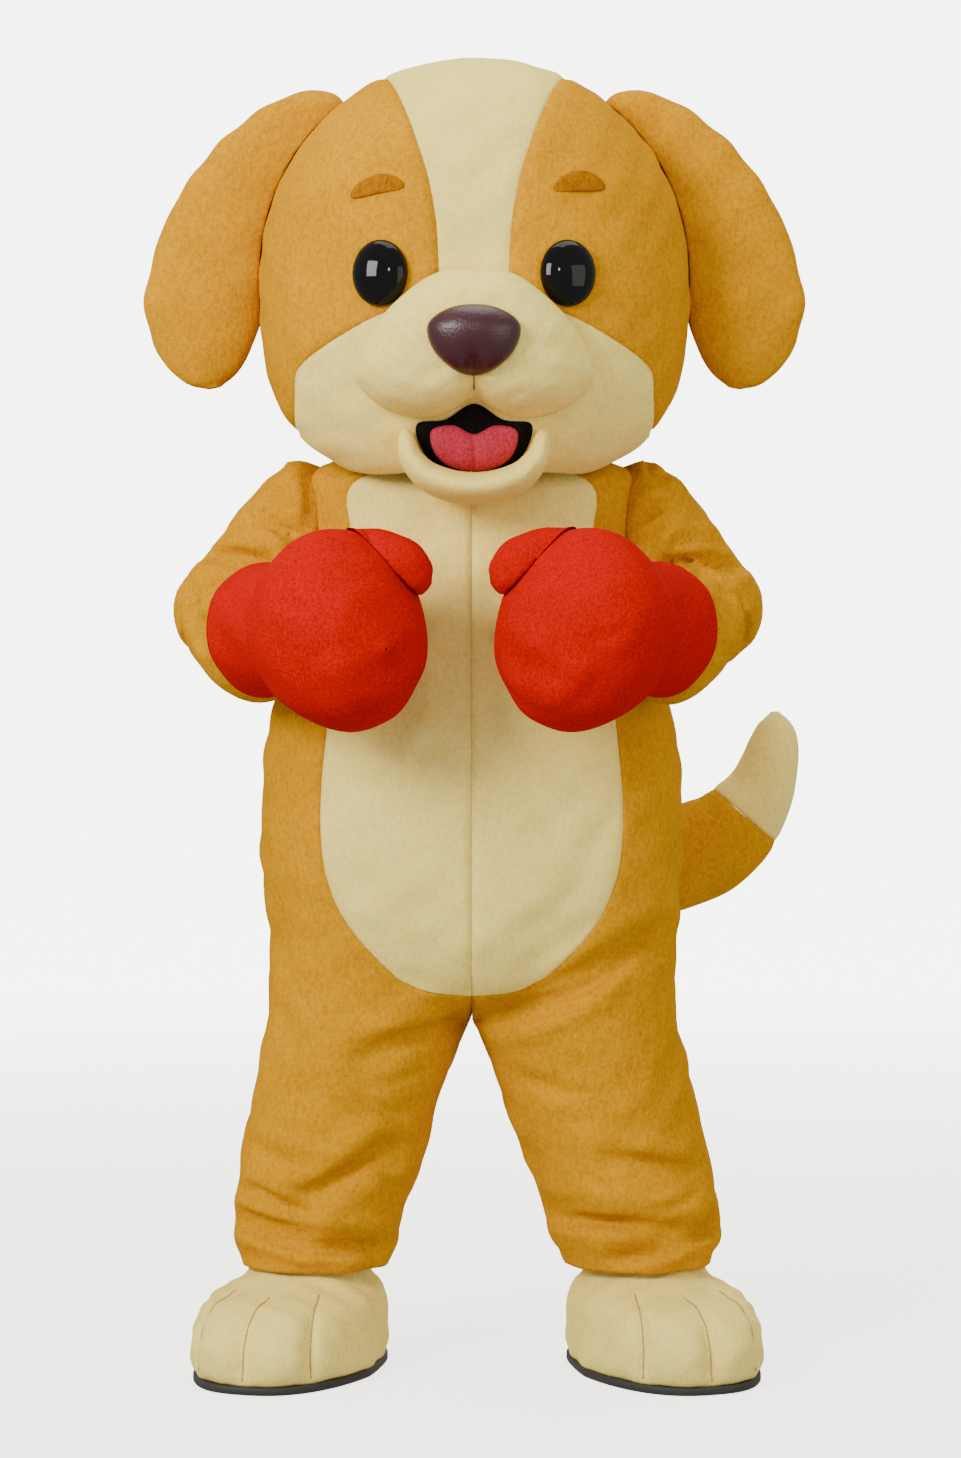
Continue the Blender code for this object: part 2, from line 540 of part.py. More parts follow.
def add_sleeves(held):
    turns = np.arange(2 * ARMHOLE_STEPS) * math.pi / ARMHOLE_STEPS
    steps = np.array(SLEEVE_ROWS)[:, None]
    for side, word in ((LEFT, "left"), (RIGHT, "right")):
        ring, ring_normals = armhole_ring(side)
        outer = np.concatenate([ring[None], sleeve(side, steps, turns[None])])
        normals = np.concatenate([ring_normals[None], sleeve_normals(side, steps, turns[None])])
        inner = outer - normals * PLUSH
        flip = np.array([side, 1, 1])
        add_mesh("sleeve_" + word, "amber_plush", *wall(outer * flip, inner * flip, True), held)


# Making the gloves

def glove(distance, turn):
    """Outside of the left glove. turn: 0 at the top."""
    distance, turn = np.broadcast_arrays(np.asarray(distance, float), np.asarray(turn, float))
    wide, high, drop = np.moveaxis(smooth(GLOVE, distance), -1, 0)
    heading = unit(GLOVE_HEADING)
    level = unit(np.cross(heading, np.array([0, 0, 1.0])))
    points = np.array(GLOVE_RIM) + distance[..., None] * heading + (wide * np.sin(turn))[..., None] * level
    points[..., 2] += high * np.cos(turn) - drop
    return points


def glove_normals(distance, turn):
    along = glove(distance + STEP, turn) - glove(distance - STEP, turn)
    around = glove(distance, turn + 0.01) - glove(distance, turn - 0.01)
    normals = unit(np.cross(around, along))
    heading = unit(GLOVE_HEADING)
    middle = np.array(GLOVE_RIM) + np.asarray(distance)[..., None] * heading
    normals = normals * np.sign(np.sum(normals * (glove(distance, turn) - middle)))
    at_end = np.asarray(distance)[..., None] > GLOVE[-1][0] - 1e-6
    return np.where(at_end + 0 * normals > 0, heading, normals)


def out_of_glove(points, gap):
    """Moves points that are inside the mitt onto it."""
    heading = unit(GLOVE_HEADING)
    level = unit(np.cross(heading, np.array([0, 0, 1.0])))
    from_rim = points - np.array(GLOVE_RIM)
    distance = from_rim @ heading
    wide, high, drop = np.moveaxis(smooth(GLOVE, distance), -1, 0)
    aside, up = from_rim @ level, from_rim[..., 2] + drop
    inside = np.hypot(aside / (wide + gap), up / (high + gap))
    grow = np.where(inside < 1, 1 / np.maximum(inside, 1e-6), 1.0)
    moved = np.array(GLOVE_RIM) + distance[..., None] * heading + (aside * grow)[..., None] * level
    moved[..., 2] += up * grow - drop
    return moved


def roll(rows, segments):
    """Grid of a stuffed roll along centres x, y, z with half width and half height."""
    rows = np.array(rows, float)
    centres = rows[:, :3]
    heading = unit(np.gradient(centres, axis=0))
    up = np.array([0, 0, 1.0])
    level = unit(np.cross(heading, up))
    rising = np.cross(level, heading)
    turn = np.arange(segments) * 2 * math.pi / segments
    wide, high = rows[:, 3][:, None, None], rows[:, -1][:, None, None]
    return (centres[:, None] + level[:, None] * wide * np.sin(turn)[None, :, None]
            + rising[:, None] * high * np.cos(turn)[None, :, None])


def add_gloves(held):
    segments = 18
    turns = np.arange(segments)[None] * 2 * math.pi / segments
    for side, word in ((LEFT, "left"), (RIGHT, "right")):
        flip, shift = np.array([side, 1, 1]), np.array(REACH[side])
        for name, rows in (("cuff_", CUFF_ROWS), ("mitt_", MITT_ROWS)):
            distance = np.array(rows)[:, None] + 0 * turns
            if name == "mitt_":
                distance[0] = CUFF_ROWS[-1] + SEAM
            outer = glove(distance, turns + 0 * distance)
            inner = outer - glove_normals(distance, turns + 0 * distance) * QUILT
            quilted = wall((outer + shift) * flip, (inner + shift) * flip, True)
            add_mesh(name + word, "red_fleece", *quilted, held)
        thumb = out_of_glove(roll(THUMB, 12), THUMB_GAP)
        add_mesh("thumb_" + word, "red_fleece", *stuffed((thumb + shift) * flip), held)


# Making the shoes

def sole_outline(turn):
    """Outline round the ankle; turn 0 is straight ahead."""
    ahead, aside = np.cos(turn), np.sin(turn)
    reach = np.where(ahead > 0, FOOT_AHEAD, FOOT_BEHIND)
    along = reach * power(ahead, FOOT_ROUND)
    narrow = 1 - HEEL_NARROW * np.clip((WAIST_FROM - along) / WAIST_LONG, 0, 1)
    return along, FOOT_HALF * power(aside, FOOT_SQUARE) * narrow


def toe_groove(turn):
    """1 at a toe seam, 0 between the toes."""
    depth = np.zeros(np.shape(turn))
    for at in TOE_SEAMS:
        off = np.angle(np.exp(1j * (turn - at))) / TOE_WIDTH
        depth = np.maximum(depth, np.exp(-off**2))
    return depth


def shoe(row, turn):
    """Outside of a shoe in the foot's own frame."""
    height, share = row
    along, aside = sole_outline(turn)
    groove = 1 - toe_groove(turn) * TOE_DEPTH / FOOT_AHEAD * np.clip((height - SOLE) / TOE_FADE, 0, 1)
    x = (along * groove) * (1 - share) + ANKLE_RADIUS * np.cos(turn) * share
    y = (aside * groove) * (1 - share) + ANKLE_RADIUS * np.sin(turn) * share
    return np.stack([x, y, height + 0 * x], axis=-1)


def place_foot(points, side):
    """Foot's own frame (ahead, aside, up) into the costume's."""
    ankle_x, ankle_y = ANKLE[side]
    ahead = np.array([math.sin(TOE_OUT), -math.cos(TOE_OUT)])
    aside = np.array([math.cos(TOE_OUT), math.sin(TOE_OUT)])
    flat = points[..., 0:1] * ahead + points[..., 1:2] * aside
    placed = np.concatenate([flat, points[..., 2:3]], axis=-1)
    placed[..., 0] = side * (placed[..., 0] + ankle_x)
    placed[..., 1] += ankle_y
    return placed


def shoe_turns():
    """Turns round a shoe, with points at the toe seams and between them."""
    front = [-1.25, -0.93, -0.78, -0.62, -0.46, -0.31, -0.15, 0.0]
    front = front + [-t for t in front[-2::-1]]
    rest = np.linspace(1.25, 2 * math.pi - 1.25, 12)[1:-1]
    return np.array(front + list(rest))


def add_shoes(held):
    turns = shoe_turns()
    rows = np.array(SHOE)
    form = np.stack([shoe(row, turns) for row in rows])
    normals = grid_normals(form)
    inner = form - normals * SHOE_WALL
    inner[0, :, 2] = form[0, :, 2]
    inner[-1, :, 2] = form[-1, :, 2]
    along, aside = sole_outline(turns)
    edge = np.stack([along, aside], axis=-1)
    plate = np.stack([
        np.concatenate([edge * scale, np.full((len(turns), 1), z)], axis=-1)
        for scale, z in ((0.97, 0.0), (1.0, 0.003), (1.0, SOLE))
    ])
    for side, word in ((LEFT, "left"), (RIGHT, "right")):
        upper = wall(place_foot(form, side), place_foot(inner, side), True)
        add_mesh("shoe_" + word, "cream_plush", *upper, held)
        add_mesh("sole_" + word, "black_sole", *stuffed(place_foot(plate, side)), held)


def grid_normals(points):
    """Outward directions of a grid closed round a hollow."""
    along = np.gradient(points, axis=0)
    around = np.roll(points, -1, 1) - np.roll(points, 1, 1)
    normals = unit(np.cross(around, along))
    out = points - points.mean(axis=1, keepdims=True)
    return normals * np.sign(np.sum(normals * out))


# Making the tail

def add_tail(held):
    """Two stuffed rolls; the first one's end lies on the back panels."""
    form = roll([row + (row[3],) for row in TAIL], TAIL_SEGMENTS)
    form[0, :, 1] = [back_at(p[0], p[2]) + TAIL_LIFT for p in form[0]]
    cap = np.array([TAIL[0][0], back_at(TAIL[0][0], TAIL[0][2]) + TAIL_LIFT, TAIL[0][2]])
    inner_ring = cap + (form[0] - cap) * 0.5
    inner_ring[:, 1] = [back_at(p[0], p[2]) + TAIL_LIFT for p in inner_ring]
    base = np.concatenate([(cap + 0 * form[0])[None], inner_ring[None], form[: TAIL_JOIN + 1]])
    tip = form[TAIL_JOIN:].copy()
    heading = unit(tip[1].mean(axis=0) - tip[0].mean(axis=0))
    tip[0] += heading * SEAM
    add_mesh("tail_base", "amber_plush", *stuffed(base), held)
    add_mesh("tail_tip", "cream_plush", *stuffed(tip), held)


def back_at(x, z):
    """Depth of the suit's back at a place."""
    side = LEFT if x >= 0 else RIGHT
    low, high = 0.5, 1.0
    for _ in range(40):
        middle = (low + high) / 2
        if abs(float(suit(side, z, middle)[0])) > abs(x):
            low = middle
        else:
            high = middle
    return float(suit(side, z, low)[1])


# Making the head

def head_ring(degrees):
    rows = [(d + 360 * k, r, n) for k in (-1, 0, 1) for d, r, n in HEAD_RINGS]
    return np.moveaxis(smooth(rows, degrees), -1, 0)


def head(degrees, x):
    """Outside of the head at an angle up from the front and a place across."""
    radius, n = head_ring(degrees)
    reach = radius * np.maximum(1 - np.abs(x / HEAD_HALF) ** n, 0) ** (1 / n)
    phi = np.radians(degrees)
    return np.stack([x + 0 * reach, -reach * np.cos(phi), reach * np.sin(phi)], axis=-1)


def head_size(points):
    """1 on the head's outside, less inside it; points in the head's own frame."""
    x, y, z = np.moveaxis(np.asarray(points, float), -1, 0)
    radius, n = head_ring(np.degrees(np.arctan2(z, -y)))
    return (np.abs(x / HEAD_HALF) ** n + (np.hypot(y, z) / radius) ** n) ** (1 / n)


def head_normals(points):
    steps = np.eye(3) * STEP
    slope = [head_size(points + s) - head_size(points - s) for s in steps]
    return unit(np.stack(slope, axis=-1))


def onto_head(points, gap):
    """Moves points that are inside the head onto it, with a gap."""
    size = head_size(points)[..., None]
    reach = np.linalg.norm(points, axis=-1, keepdims=True)
    least = 1 + gap / np.maximum(reach, 0.05)
    return np.where(size < least, points * least / np.maximum(size, 1e-6), points)


def face_at(x, height):
    """Front of the head at a place across and a height above the floor: its own frame."""
    x, z = np.broadcast_arrays(np.asarray(x, float), np.asarray(height, float) - HEAD_CENTRE[2])
    low, high = np.full(x.shape, -0.5), np.full(x.shape, 0.0)
    for _ in range(40):
        middle = (low + high) / 2
        outside = head_size(np.stack([x, middle, z], axis=-1)) > 1
        low, high = np.where(outside, middle, low), np.where(outside, high, middle)
    return np.stack([x, low, z], axis=-1)


def head_wall(degrees, x, edges, closed=False):
    points = head(degrees, x)
    normals = head_normals(points)
    outer = seam_in(points, normals, edges)
    return wall(outer, outer - normals * FOAM_HEAD, closed)


def hole_half(degrees):
    return NECK_HOLE_HALF * math.sqrt(max(0.0, 1 - ((degrees - 360 - UNDER) / NECK_HOLE_TURN) ** 2))


def side_boundary():
    """Angle and place across of the side panel's edge, all round."""
    line = [(d, float(smooth(BLAZE, d)[0])) for d in BLAZE_ROWS]
    line += [(d, 0.0) for d in BACK_ROWS]
    for k in range(1, HOLE_STEPS + 1):
        d = NAPE + NECK_HOLE_TURN * (1 - math.cos(math.pi / 2 * k / HOLE_STEPS))
        line.append((d, hole_half(d)))
    below = [BLAZE_LOW + (UNDER - BLAZE_LOW) * t for t in FACE_ROWS[1:-1]]
    line += [(d + 360, float(smooth(CHEEK, d)[0])) for d in below[::-1]]
    return np.array(line)


def add_head(held):
    cream, amber = "cream_plush", "amber_plush"
    line = side_boundary()
    degrees, edge = line[:, 0], line[:, 1]
    _, n = head_ring(degrees)
    cols = 6
    first = np.arccos(np.clip((edge / HEAD_HALF) ** (n / 2), 0, 1))
    rounds = first[None] * (1 - np.linspace(0, 1, cols + 1)[:, None] ** 0.9)
    x = HEAD_HALF * np.cos(rounds) ** (2 / n[None])
    radius, _ = head_ring(degrees)
    for side, word in ((LEFT, "left"), (RIGHT, "right")):
        reach = radius[None] * np.sin(rounds) ** (2 / n[None])
        phi = np.radians(degrees)[None]
        points = np.stack([x * side, -reach * np.cos(phi), reach * np.sin(phi)], axis=-1)
        normals = head_normals(points)
        ring = points[0]
        tangent = np.roll(ring, -1, 0) - np.roll(ring, 1, 0)
        inward = unit(np.cross(normals[0], tangent))
        inward *= np.sign(np.sum(inward * (points[1] - ring), axis=-1, keepdims=True))
        outer = points.copy()
        outer[0] += inward * SEAM / 2
        inner = outer - normals * FOAM_HEAD
        for grid in (outer, inner):
            grid[..., 0] = side * np.maximum(side * grid[..., 0], SEAM / 2)
        add_mesh("head_" + word, amber, *wall(outer + HEAD_CENTRE, inner + HEAD_CENTRE, True), held)

    across = np.linspace(-1, 1, 7)[None]
    rows = np.array(BLAZE_ROWS)[:, None]
    half = smooth(BLAZE, rows[:, 0])
    blaze = head_wall(rows + 0 * across, half * across, ("first", "last", "top"))
    add_mesh("blaze", cream, blaze[0] + HEAD_CENTRE, blaze[1], held)

    across = np.linspace(-1, 1, 13)[None]
    ends = UNDER + NECK_HOLE_TURN * np.sqrt(1 - across**2)
    rows = BLAZE_LOW + (ends - BLAZE_LOW) * FACE_ROWS[:, None]
    half = smooth(CHEEK, rows)[..., 0]
    face = head_wall(rows, half * across, ("first", "last", "top"))
    add_mesh("face", cream, face[0] + HEAD_CENTRE, face[1], held)


def outline(rows, count):
    """Closed outline from its left half: points across and heights, evenly round."""
    half = np.array(rows, float)
    whole = np.concatenate([half, (half * [-1, 1])[-2:0:-1]])
    places = np.arange(len(whole) + 1)
    closed = np.concatenate([whole, whole[:1]])
    wrapped = np.concatenate([closed[-4:-1], closed, closed[1:4]])
    at = np.linspace(0, len(whole), count, endpoint=False)
    table = np.column_stack([np.arange(-3, len(places) + 3), wrapped])
    return smooth(table, at)


def pad(front, middle, edge, rings, rise, gap, ahead):
    """Grid of a pad on a form: its back lies on the form and its front rises from it."""
    back_rings, front_rings = [], []
    for r in rings:
        flat = middle + (edge - middle) * r
        base = front(flat[:, 0], flat[:, 1])
        out = np.array([[0, -1.0, 0]]) if ahead else head_normals(base)
        back_rings.append(base + out * gap)
        front_rings.append(base + out * (gap + np.reshape(rise(r, flat), (-1, 1))))
    return np.stack(front_rings[::-1] + back_rings)


def add_pad(name, slot, front, middle, edge, rise, gap, held, rings, ahead=False):
    """A solid pad from an outline: front from its middle to the edge, then back to its middle."""
    grid = pad(front, np.array(middle), edge, list(rings), rise, gap, ahead)
    return add_mesh(name, slot, *stuffed(grid + HEAD_CENTRE), held)


def dome(top, edge_share=0.12):
    return lambda r, flat: top * (edge_share + (1 - edge_share) * math.sqrt(max(0.0, 1 - r**2)))


def even(height):
    return lambda r, flat: height


def muzzle_rise(r, flat):
    """Two soft lobes with a groove between them under the nose."""
    body = MUZZLE_OUT * (0.10 + 0.90 * max(0.0, 1 - r**2.4) ** 0.5)
    low = np.clip((1.430 - flat[:, 1]) / 0.05, 0, 1)
    groove = 0.012 * np.exp(-((flat[:, 0] / 0.011) ** 2)) * low * min(1.0, 1.2 - r)
    return body - groove


def muzzle_front(x, height):
    """Outside of the muzzle's front, for the nose."""
    base = face_at(x, height)
    edge = outline(MUZZLE, 72)
    angle = np.arctan2(edge[:, 1] - MUZZLE_MIDDLE[1], edge[:, 0])
    far = np.hypot(edge[:, 1] - MUZZLE_MIDDLE[1], edge[:, 0])
    order = np.argsort(angle)
    here = np.arctan2(height - MUZZLE_MIDDLE[1], x)
    reach = np.interp(here, angle[order], far[order], period=2 * math.pi)
    r = np.clip(np.hypot(height - MUZZLE_MIDDLE[1], x) / reach, 0, 1)
    rise = np.array([float(muzzle_rise(a, np.array([[b, c]]))[0]) for a, b, c in zip(r, x, height)])
    base[:, 1] -= rise + MUZZLE_GAP
    return base


def add_face_parts(held):
    add_pad("muzzle", "cream_plush", face_at, MUZZLE_MIDDLE, outline(MUZZLE, 24), muzzle_rise, MUZZLE_GAP,
            held, (1, 0.93, 0.80, 0.62, 0.40, 0.20, 0), True)
    add_pad("nose", "plum_nose", muzzle_front, NOSE_MIDDLE, outline(NOSE, 18), dome(NOSE_OUT, 0.15), NOSE_GAP,
            held, (1, 0.90, 0.65, 0.35, 0), True)
    add_pad("mouth", "black_lining", face_at, MOUTH_MIDDLE, outline(MOUTH, 20), even(LINING), FACE_GAP,
            held, (1, 0.6, 0.3, 0))
    add_pad("tongue", "pink_tongue", face_at, TONGUE_MIDDLE, outline(TONGUE, 18), dome(TONGUE_OUT),
            LINING + TONGUE_GAP, held, (1, 0.8, 0.4, 0))
    turn = np.arange(18) * 2 * math.pi / 18
    for side, word in ((LEFT, "left"), (RIGHT, "right")):
        middle = np.array([side * EYE_AT[0], EYE_AT[1]])
        ring = middle + np.stack([EYE_HALF[0] * np.sin(turn), EYE_HALF[1] * np.cos(turn)], axis=-1)
        add_pad("eye_" + word, "black_eye", face_at, middle, ring, dome(EYE_OUT, 0.1), FACE_GAP, held,
                (1, 0.88, 0.55, 0))
        x, height, half, tall, tilt = BROWS[side]
        bow = np.stack([half * np.sin(turn), tall * np.cos(turn) + 0.30 * tall * np.cos(2 * turn)], axis=-1)
        bow[:, 1] -= tilt * side * bow[:, 0]
        add_pad("brow_" + word, "brow_plush", face_at, (side * x, height), bow + [side * x, height],
                even(BROW_OUT), FACE_GAP, held, (1, 0.55, 0))
    whole = [(-row[0],) + row[1:] for row in CHIN] + CHIN[-2::-1]
    form = chin_roll(whole) - np.array([0, 0, HEAD_CENTRE[2]])
    add_mesh("chin", "cream_plush", *stuffed(onto_head(form, ROLL_GAP) + HEAD_CENTRE), held)


def chin_roll(rows):
    """The lower lip: a roll bent to a U in a plane that faces forward."""
    rows = np.array(rows, float)
    centres = rows[:, :3]
    heading = unit(np.gradient(centres, axis=0))
    ahead = np.array([0, -1.0, 0])
    aside = unit(np.cross(heading, ahead))
    forward = np.cross(aside, heading)
    turn = np.arange(12) * 2 * math.pi / 12
    radius, deep = rows[:, 3][:, None, None], rows[:, 4][:, None, None]
    return (centres[:, None] + aside[:, None] * radius * np.sin(turn)[None, :, None]
            + forward[:, None] * deep * np.cos(turn)[None, :, None])


def add_ears(held):
    """Padded ears, lying against the head on their inner side."""
    turn = np.arange(14) * 2 * math.pi / 14
    for side, word in ((LEFT, "left"), (RIGHT, "right")):
        rings = []
        for x, y, z, half, thick, heading_x, heading_z in EAR:
            heading = unit([heading_x, 0, heading_z])
            aside = np.array([-heading[2], 0, heading[0]])
            centre = np.array([x, y, z - HEAD_CENTRE[2]])
            ring = centre + aside * (half * np.sin(turn))[:, None]
            ring = ring + np.array([0, 1.0, 0]) * (thick * power(np.cos(turn), 0.9))[:, None]
            rings.append(ring)
        form = onto_head(np.stack(rings), ROLL_GAP) * np.array([side, 1, 1])
        add_mesh("ear_" + word, "amber_plush", *stuffed(form + HEAD_CENTRE), held)


def main():
    for old in list(bpy.data.objects):
        bpy.data.objects.remove(old, do_unlink=True)
    for slot, (colour, rough) in COLOURS.items():
        material = bpy.data.materials.new(slot)
        material.use_nodes = True
        shader = material.node_tree.nodes["Principled BSDF"]
        shader.inputs["Base Color"].default_value = (*colour, 1)
        shader.inputs["Roughness"].default_value = rough
        material.diffuse_color = (*colour, 1)
    held = bpy.data.objects.new("held", None)
    held.location = (0, 0, -HELD_HEIGHT)
    bpy.context.collection.objects.link(held)
    add_suit(held)
    add_sleeves(held)
    add_gloves(held)
    add_shoes(held)
    add_tail(held)
    add_head(held)
    add_face_parts(held)
    add_ears(held)


main()
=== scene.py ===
# %% [markdown]
# # A worn dog costume
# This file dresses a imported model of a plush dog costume: suit, foam head, boxing gloves, paw shoes and
# tail. The frame gives the box of every solid. Each piece below is made again, finer, on the same named
# sizes, because a sewn cloth shows its shape in creases and soft seams that a plain solid leaves out.

# %% Load the frame
import math

import bmesh
import bpy
import numpy as np
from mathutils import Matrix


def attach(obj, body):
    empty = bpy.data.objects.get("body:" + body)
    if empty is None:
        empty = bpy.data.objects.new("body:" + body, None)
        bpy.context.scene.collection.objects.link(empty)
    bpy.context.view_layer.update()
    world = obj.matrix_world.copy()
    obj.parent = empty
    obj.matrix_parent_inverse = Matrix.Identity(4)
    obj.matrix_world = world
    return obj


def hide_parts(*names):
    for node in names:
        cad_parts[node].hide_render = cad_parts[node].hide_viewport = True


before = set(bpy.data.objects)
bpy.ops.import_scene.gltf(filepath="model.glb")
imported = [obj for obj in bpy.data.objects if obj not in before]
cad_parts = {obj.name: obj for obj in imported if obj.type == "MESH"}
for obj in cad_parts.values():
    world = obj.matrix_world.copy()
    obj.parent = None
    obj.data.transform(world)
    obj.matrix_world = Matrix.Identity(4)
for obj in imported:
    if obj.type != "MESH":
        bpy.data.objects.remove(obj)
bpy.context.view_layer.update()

# %% [markdown]
# Heights in the tables are above the floor, as a tailor measures them. The frame's origin is the base
# of the neck, so `in_frame` lowers the points by its height. The two sides of the costume
# differ a little. A side is +1 for the dog's left and -1 for its right.

# %% Shared sizes and small sums
NECK_HEIGHT = 1.340  # base of the neck above the floor
SEAM = 0.0003  # space between two pieces at a seam
LEFT, RIGHT = 1, -1
SIDES = ((LEFT, "left"), (RIGHT, "right"))
TINY = 0.0005  # step for slopes of a form
SAME_PLACE = 2e-6  # points closer than this are one


def in_frame(points):
    return np.asarray(points, float) - np.array([0, 0, NECK_HEIGHT])


def smooth(rows, at):
    """A table's values at a place, on a curve through all its rows."""
    rows = np.array(rows, float)
    x, y = rows[:, 0], rows[:, 1:]
    slope = np.gradient(y, x, axis=0)
    at = np.clip(np.asarray(at, float), x[0], x[-1])
    k = np.clip(np.searchsorted(x, at, side="right") - 1, 0, len(x) - 2)
    span = (x[k + 1] - x[k])[..., None]
    t = (at - x[k])[..., None] / span
    value = (2 * t**3 - 3 * t**2 + 1) * y[k] + (t**3 - 2 * t**2 + t) * span * slope[k]
    return value + (3 * t**2 - 2 * t**3) * y[k + 1] + (t**3 - t**2) * span * slope[k + 1]


def metres(rows, keep=0):
    """A table in millimetres as metres, but for its first columns."""
    return [tuple(row[:keep]) + tuple(v / 1000 for v in row[keep:]) for row in rows]


def farthest(low, high, still):
    """The last place between two ends where a test still holds, by halving."""
    for _ in range(40):
        middle = (low + high) / 2
        holds = still(middle)
        low, high = np.where(holds, middle, low), np.where(holds, high, middle)
    return low


def from_line(x, z, x0, z0, x1, z1):
    """How far along a straight line the nearest place to a point is, 0 to 1, and its distance."""
    step = np.array([x1 - x0, z1 - z0])
    t = np.clip(((x - x0) * step[0] + (z - z0) * step[1]) / (step @ step), 0, 1)
    return t, np.hypot(x - x0 - t * step[0], z - z0 - t * step[1])


def unit(v):
    v = np.asarray(v, float)
    return v / np.maximum(np.linalg.norm(v, axis=-1, keepdims=True), 1e-12)


def power(value, exponent):
    return np.sign(value) * np.abs(value) ** exponent


def ease(t):
    t = np.clip(t, 0, 1)
    return t * t * (3 - 2 * t)


def all_round(count):
    """Angles of that many places, evenly round."""
    return np.arange(count) * 2 * math.pi / count


# %% [markdown]
# A cloth piece is a grid of points with rows and columns. Two grids a cloth's thickness apart, joined
# round their rim, give a closed shell, which prints and exports well. A stuffed piece is one grid
# closed round, with a pole at each end. Both become one mesh with smooth shading.

# %% From grids to pieces
MADE = {}


def quads(rows, cols, closed):
    """Corners of a grid's faces, as an array."""
    wide = cols if closed else cols - 1
    i, j = np.meshgrid(np.arange(rows - 1), np.arange(wide), indexing="ij")
    a, b = i * cols + j, i * cols + (j + 1) % cols
    return np.stack([a, b, b + cols, a + cols], axis=-1).reshape(-1, 4)


def mesh_piece(name, points, faces, slot, node):
    """One object from points above the floor; its faces are turned out and its doubles joined."""
    mesh = bpy.data.meshes.new(name)
    mesh.from_pydata(in_frame(points).tolist(), [], faces)
    form = bmesh.new()
    form.from_mesh(mesh)
    bmesh.ops.remove_doubles(form, verts=form.verts, dist=SAME_PLACE)
    bmesh.ops.delete(form, geom=[e for e in form.edges if not e.link_faces], context="EDGES")
    bmesh.ops.recalc_face_normals(form, faces=form.faces)
    for face in form.faces:
        face.smooth = True
    form.to_mesh(mesh)
    form.free()
    piece = bpy.data.objects.new(name, mesh)
    bpy.context.collection.objects.link(piece)
    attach(piece, "root")
    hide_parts(node)
    mesh.materials.append(FINISH[slot])
    MADE[name] = piece


def shell(outer, inner, closed):
    """Points and faces of a wall between two grids."""
    rows, cols = outer.shape[:2]
    under = rows * cols
    top = quads(rows, cols, closed)
    faces = [top, under + top[:, ::-1]]
    wide = cols if closed else cols - 1
    j = np.arange(wide)
    for i in (0, rows - 1):
        a, b = i * cols + j, i * cols + (j + 1) % cols
        faces.append(np.stack([a, b, under + b, under + a], axis=-1))
    if not closed:
        i = np.arange(rows - 1)
        for c in (0, cols - 1):
            a, b = i * cols + c, (i + 1) * cols + c
            faces.append(np.stack([a, b, under + b, under + a], axis=-1))
    return np.concatenate([outer.reshape(-1, 3), inner.reshape(-1, 3)]), np.concatenate(faces).tolist()


def stuffed(points):
    """Points and faces of a form closed round, with a pole at each end."""
    rows, cols = points.shape[:2]
    poles = np.stack([points[0].mean(axis=0), points[-1].mean(axis=0)])
    faces = quads(rows, cols, True).tolist()
    j = np.arange(cols)
    for n, i in enumerate((0, rows - 1)):
        pole = 0 * j + rows * cols + n
        faces += np.stack([i * cols + j, i * cols + (j + 1) % cols, pole], axis=-1).tolist()
    return np.concatenate([points.reshape(-1, 3), poles]), faces


def tube_normals(points, middle_line=None):
    """Directions square to a grid that is closed round, away from its middle line."""
    if middle_line is None:
        middle_line = points.mean(axis=1, keepdims=True)
    across = np.roll(points, -1, 1) - np.roll(points, 1, 1)
    normals = unit(np.cross(across, np.gradient(points, axis=0)))
    return normals * np.sign(np.sum(normals * (points - middle_line)) + 1e-9)


# %% [markdown]
# Cloth that is worn hangs in creases. Each is a line on the body as seen from the front or the back,
# sharp at its middle, fading at its ends, with a soft swell on each side where the cloth bunches up.
# They are listed in uneven lengths and depths, because even ones look like corrugated card.

# %% Creases and unevenness
SWELL, SWELL_AT = 0.40, 2.1  # height of the swell beside a crease, and how many widths away it is
CREASE_ENDS = 0.15  # share of its depth that a crease keeps at its ends


def crease_depth(x, z, facing, table, side):
    """How far the creases of one side draw the cloth in. facing: 1 where a point faces the viewer."""
    depth = np.zeros(x.shape)
    for row in table:
        if row[0] not in (side, 0):
            continue
        _, view, half, deep, *line = row
        seen = ease(np.clip(facing * view * -1, 0, 1))
        best, along = np.full(x.shape, 1e9), np.zeros(x.shape)
        spans = len(line) // 2 - 1
        for k in range(spans):
            t, off = from_line(x, z, *line[2 * k: 2 * k + 4])
            nearer = off < best
            best = np.where(nearer, off, best)
            along = np.where(nearer, (k + t) / spans, along)
        off = best / half
        fade = CREASE_ENDS + (1 - CREASE_ENDS) * np.sin(math.pi * np.clip(along, 0, 1)) ** 0.7
        valley = np.exp(-np.abs(off) ** 1.5) - SWELL * np.exp(-((off - SWELL_AT) ** 2) / 1.2)
        depth += deep * fade * seen * valley
    return depth


WAVES = [  # direction x, y, z, start; five waves that never line up
    (1.00, 0.31, 0.53, 0.4), (-0.47, 0.92, 0.66, 1.9), (0.29, -0.71, 1.13, 3.1), (-0.83, -0.37, 0.71, 5.2),
    (0.61, 0.57, -0.94, 2.3),
]


def uneven(points, size, height):
    """Soft dents and swells about `size` across and `height` deep, the same on every run."""
    total = np.zeros(points.shape[:-1])
    for n, (a, b, c, start) in enumerate(WAVES):
        total += np.sin((points @ np.array([a, b, c])) * 2 * math.pi / size * (1 + 0.17 * n) + start)
    return total * height / len(WAVES) * 1.6


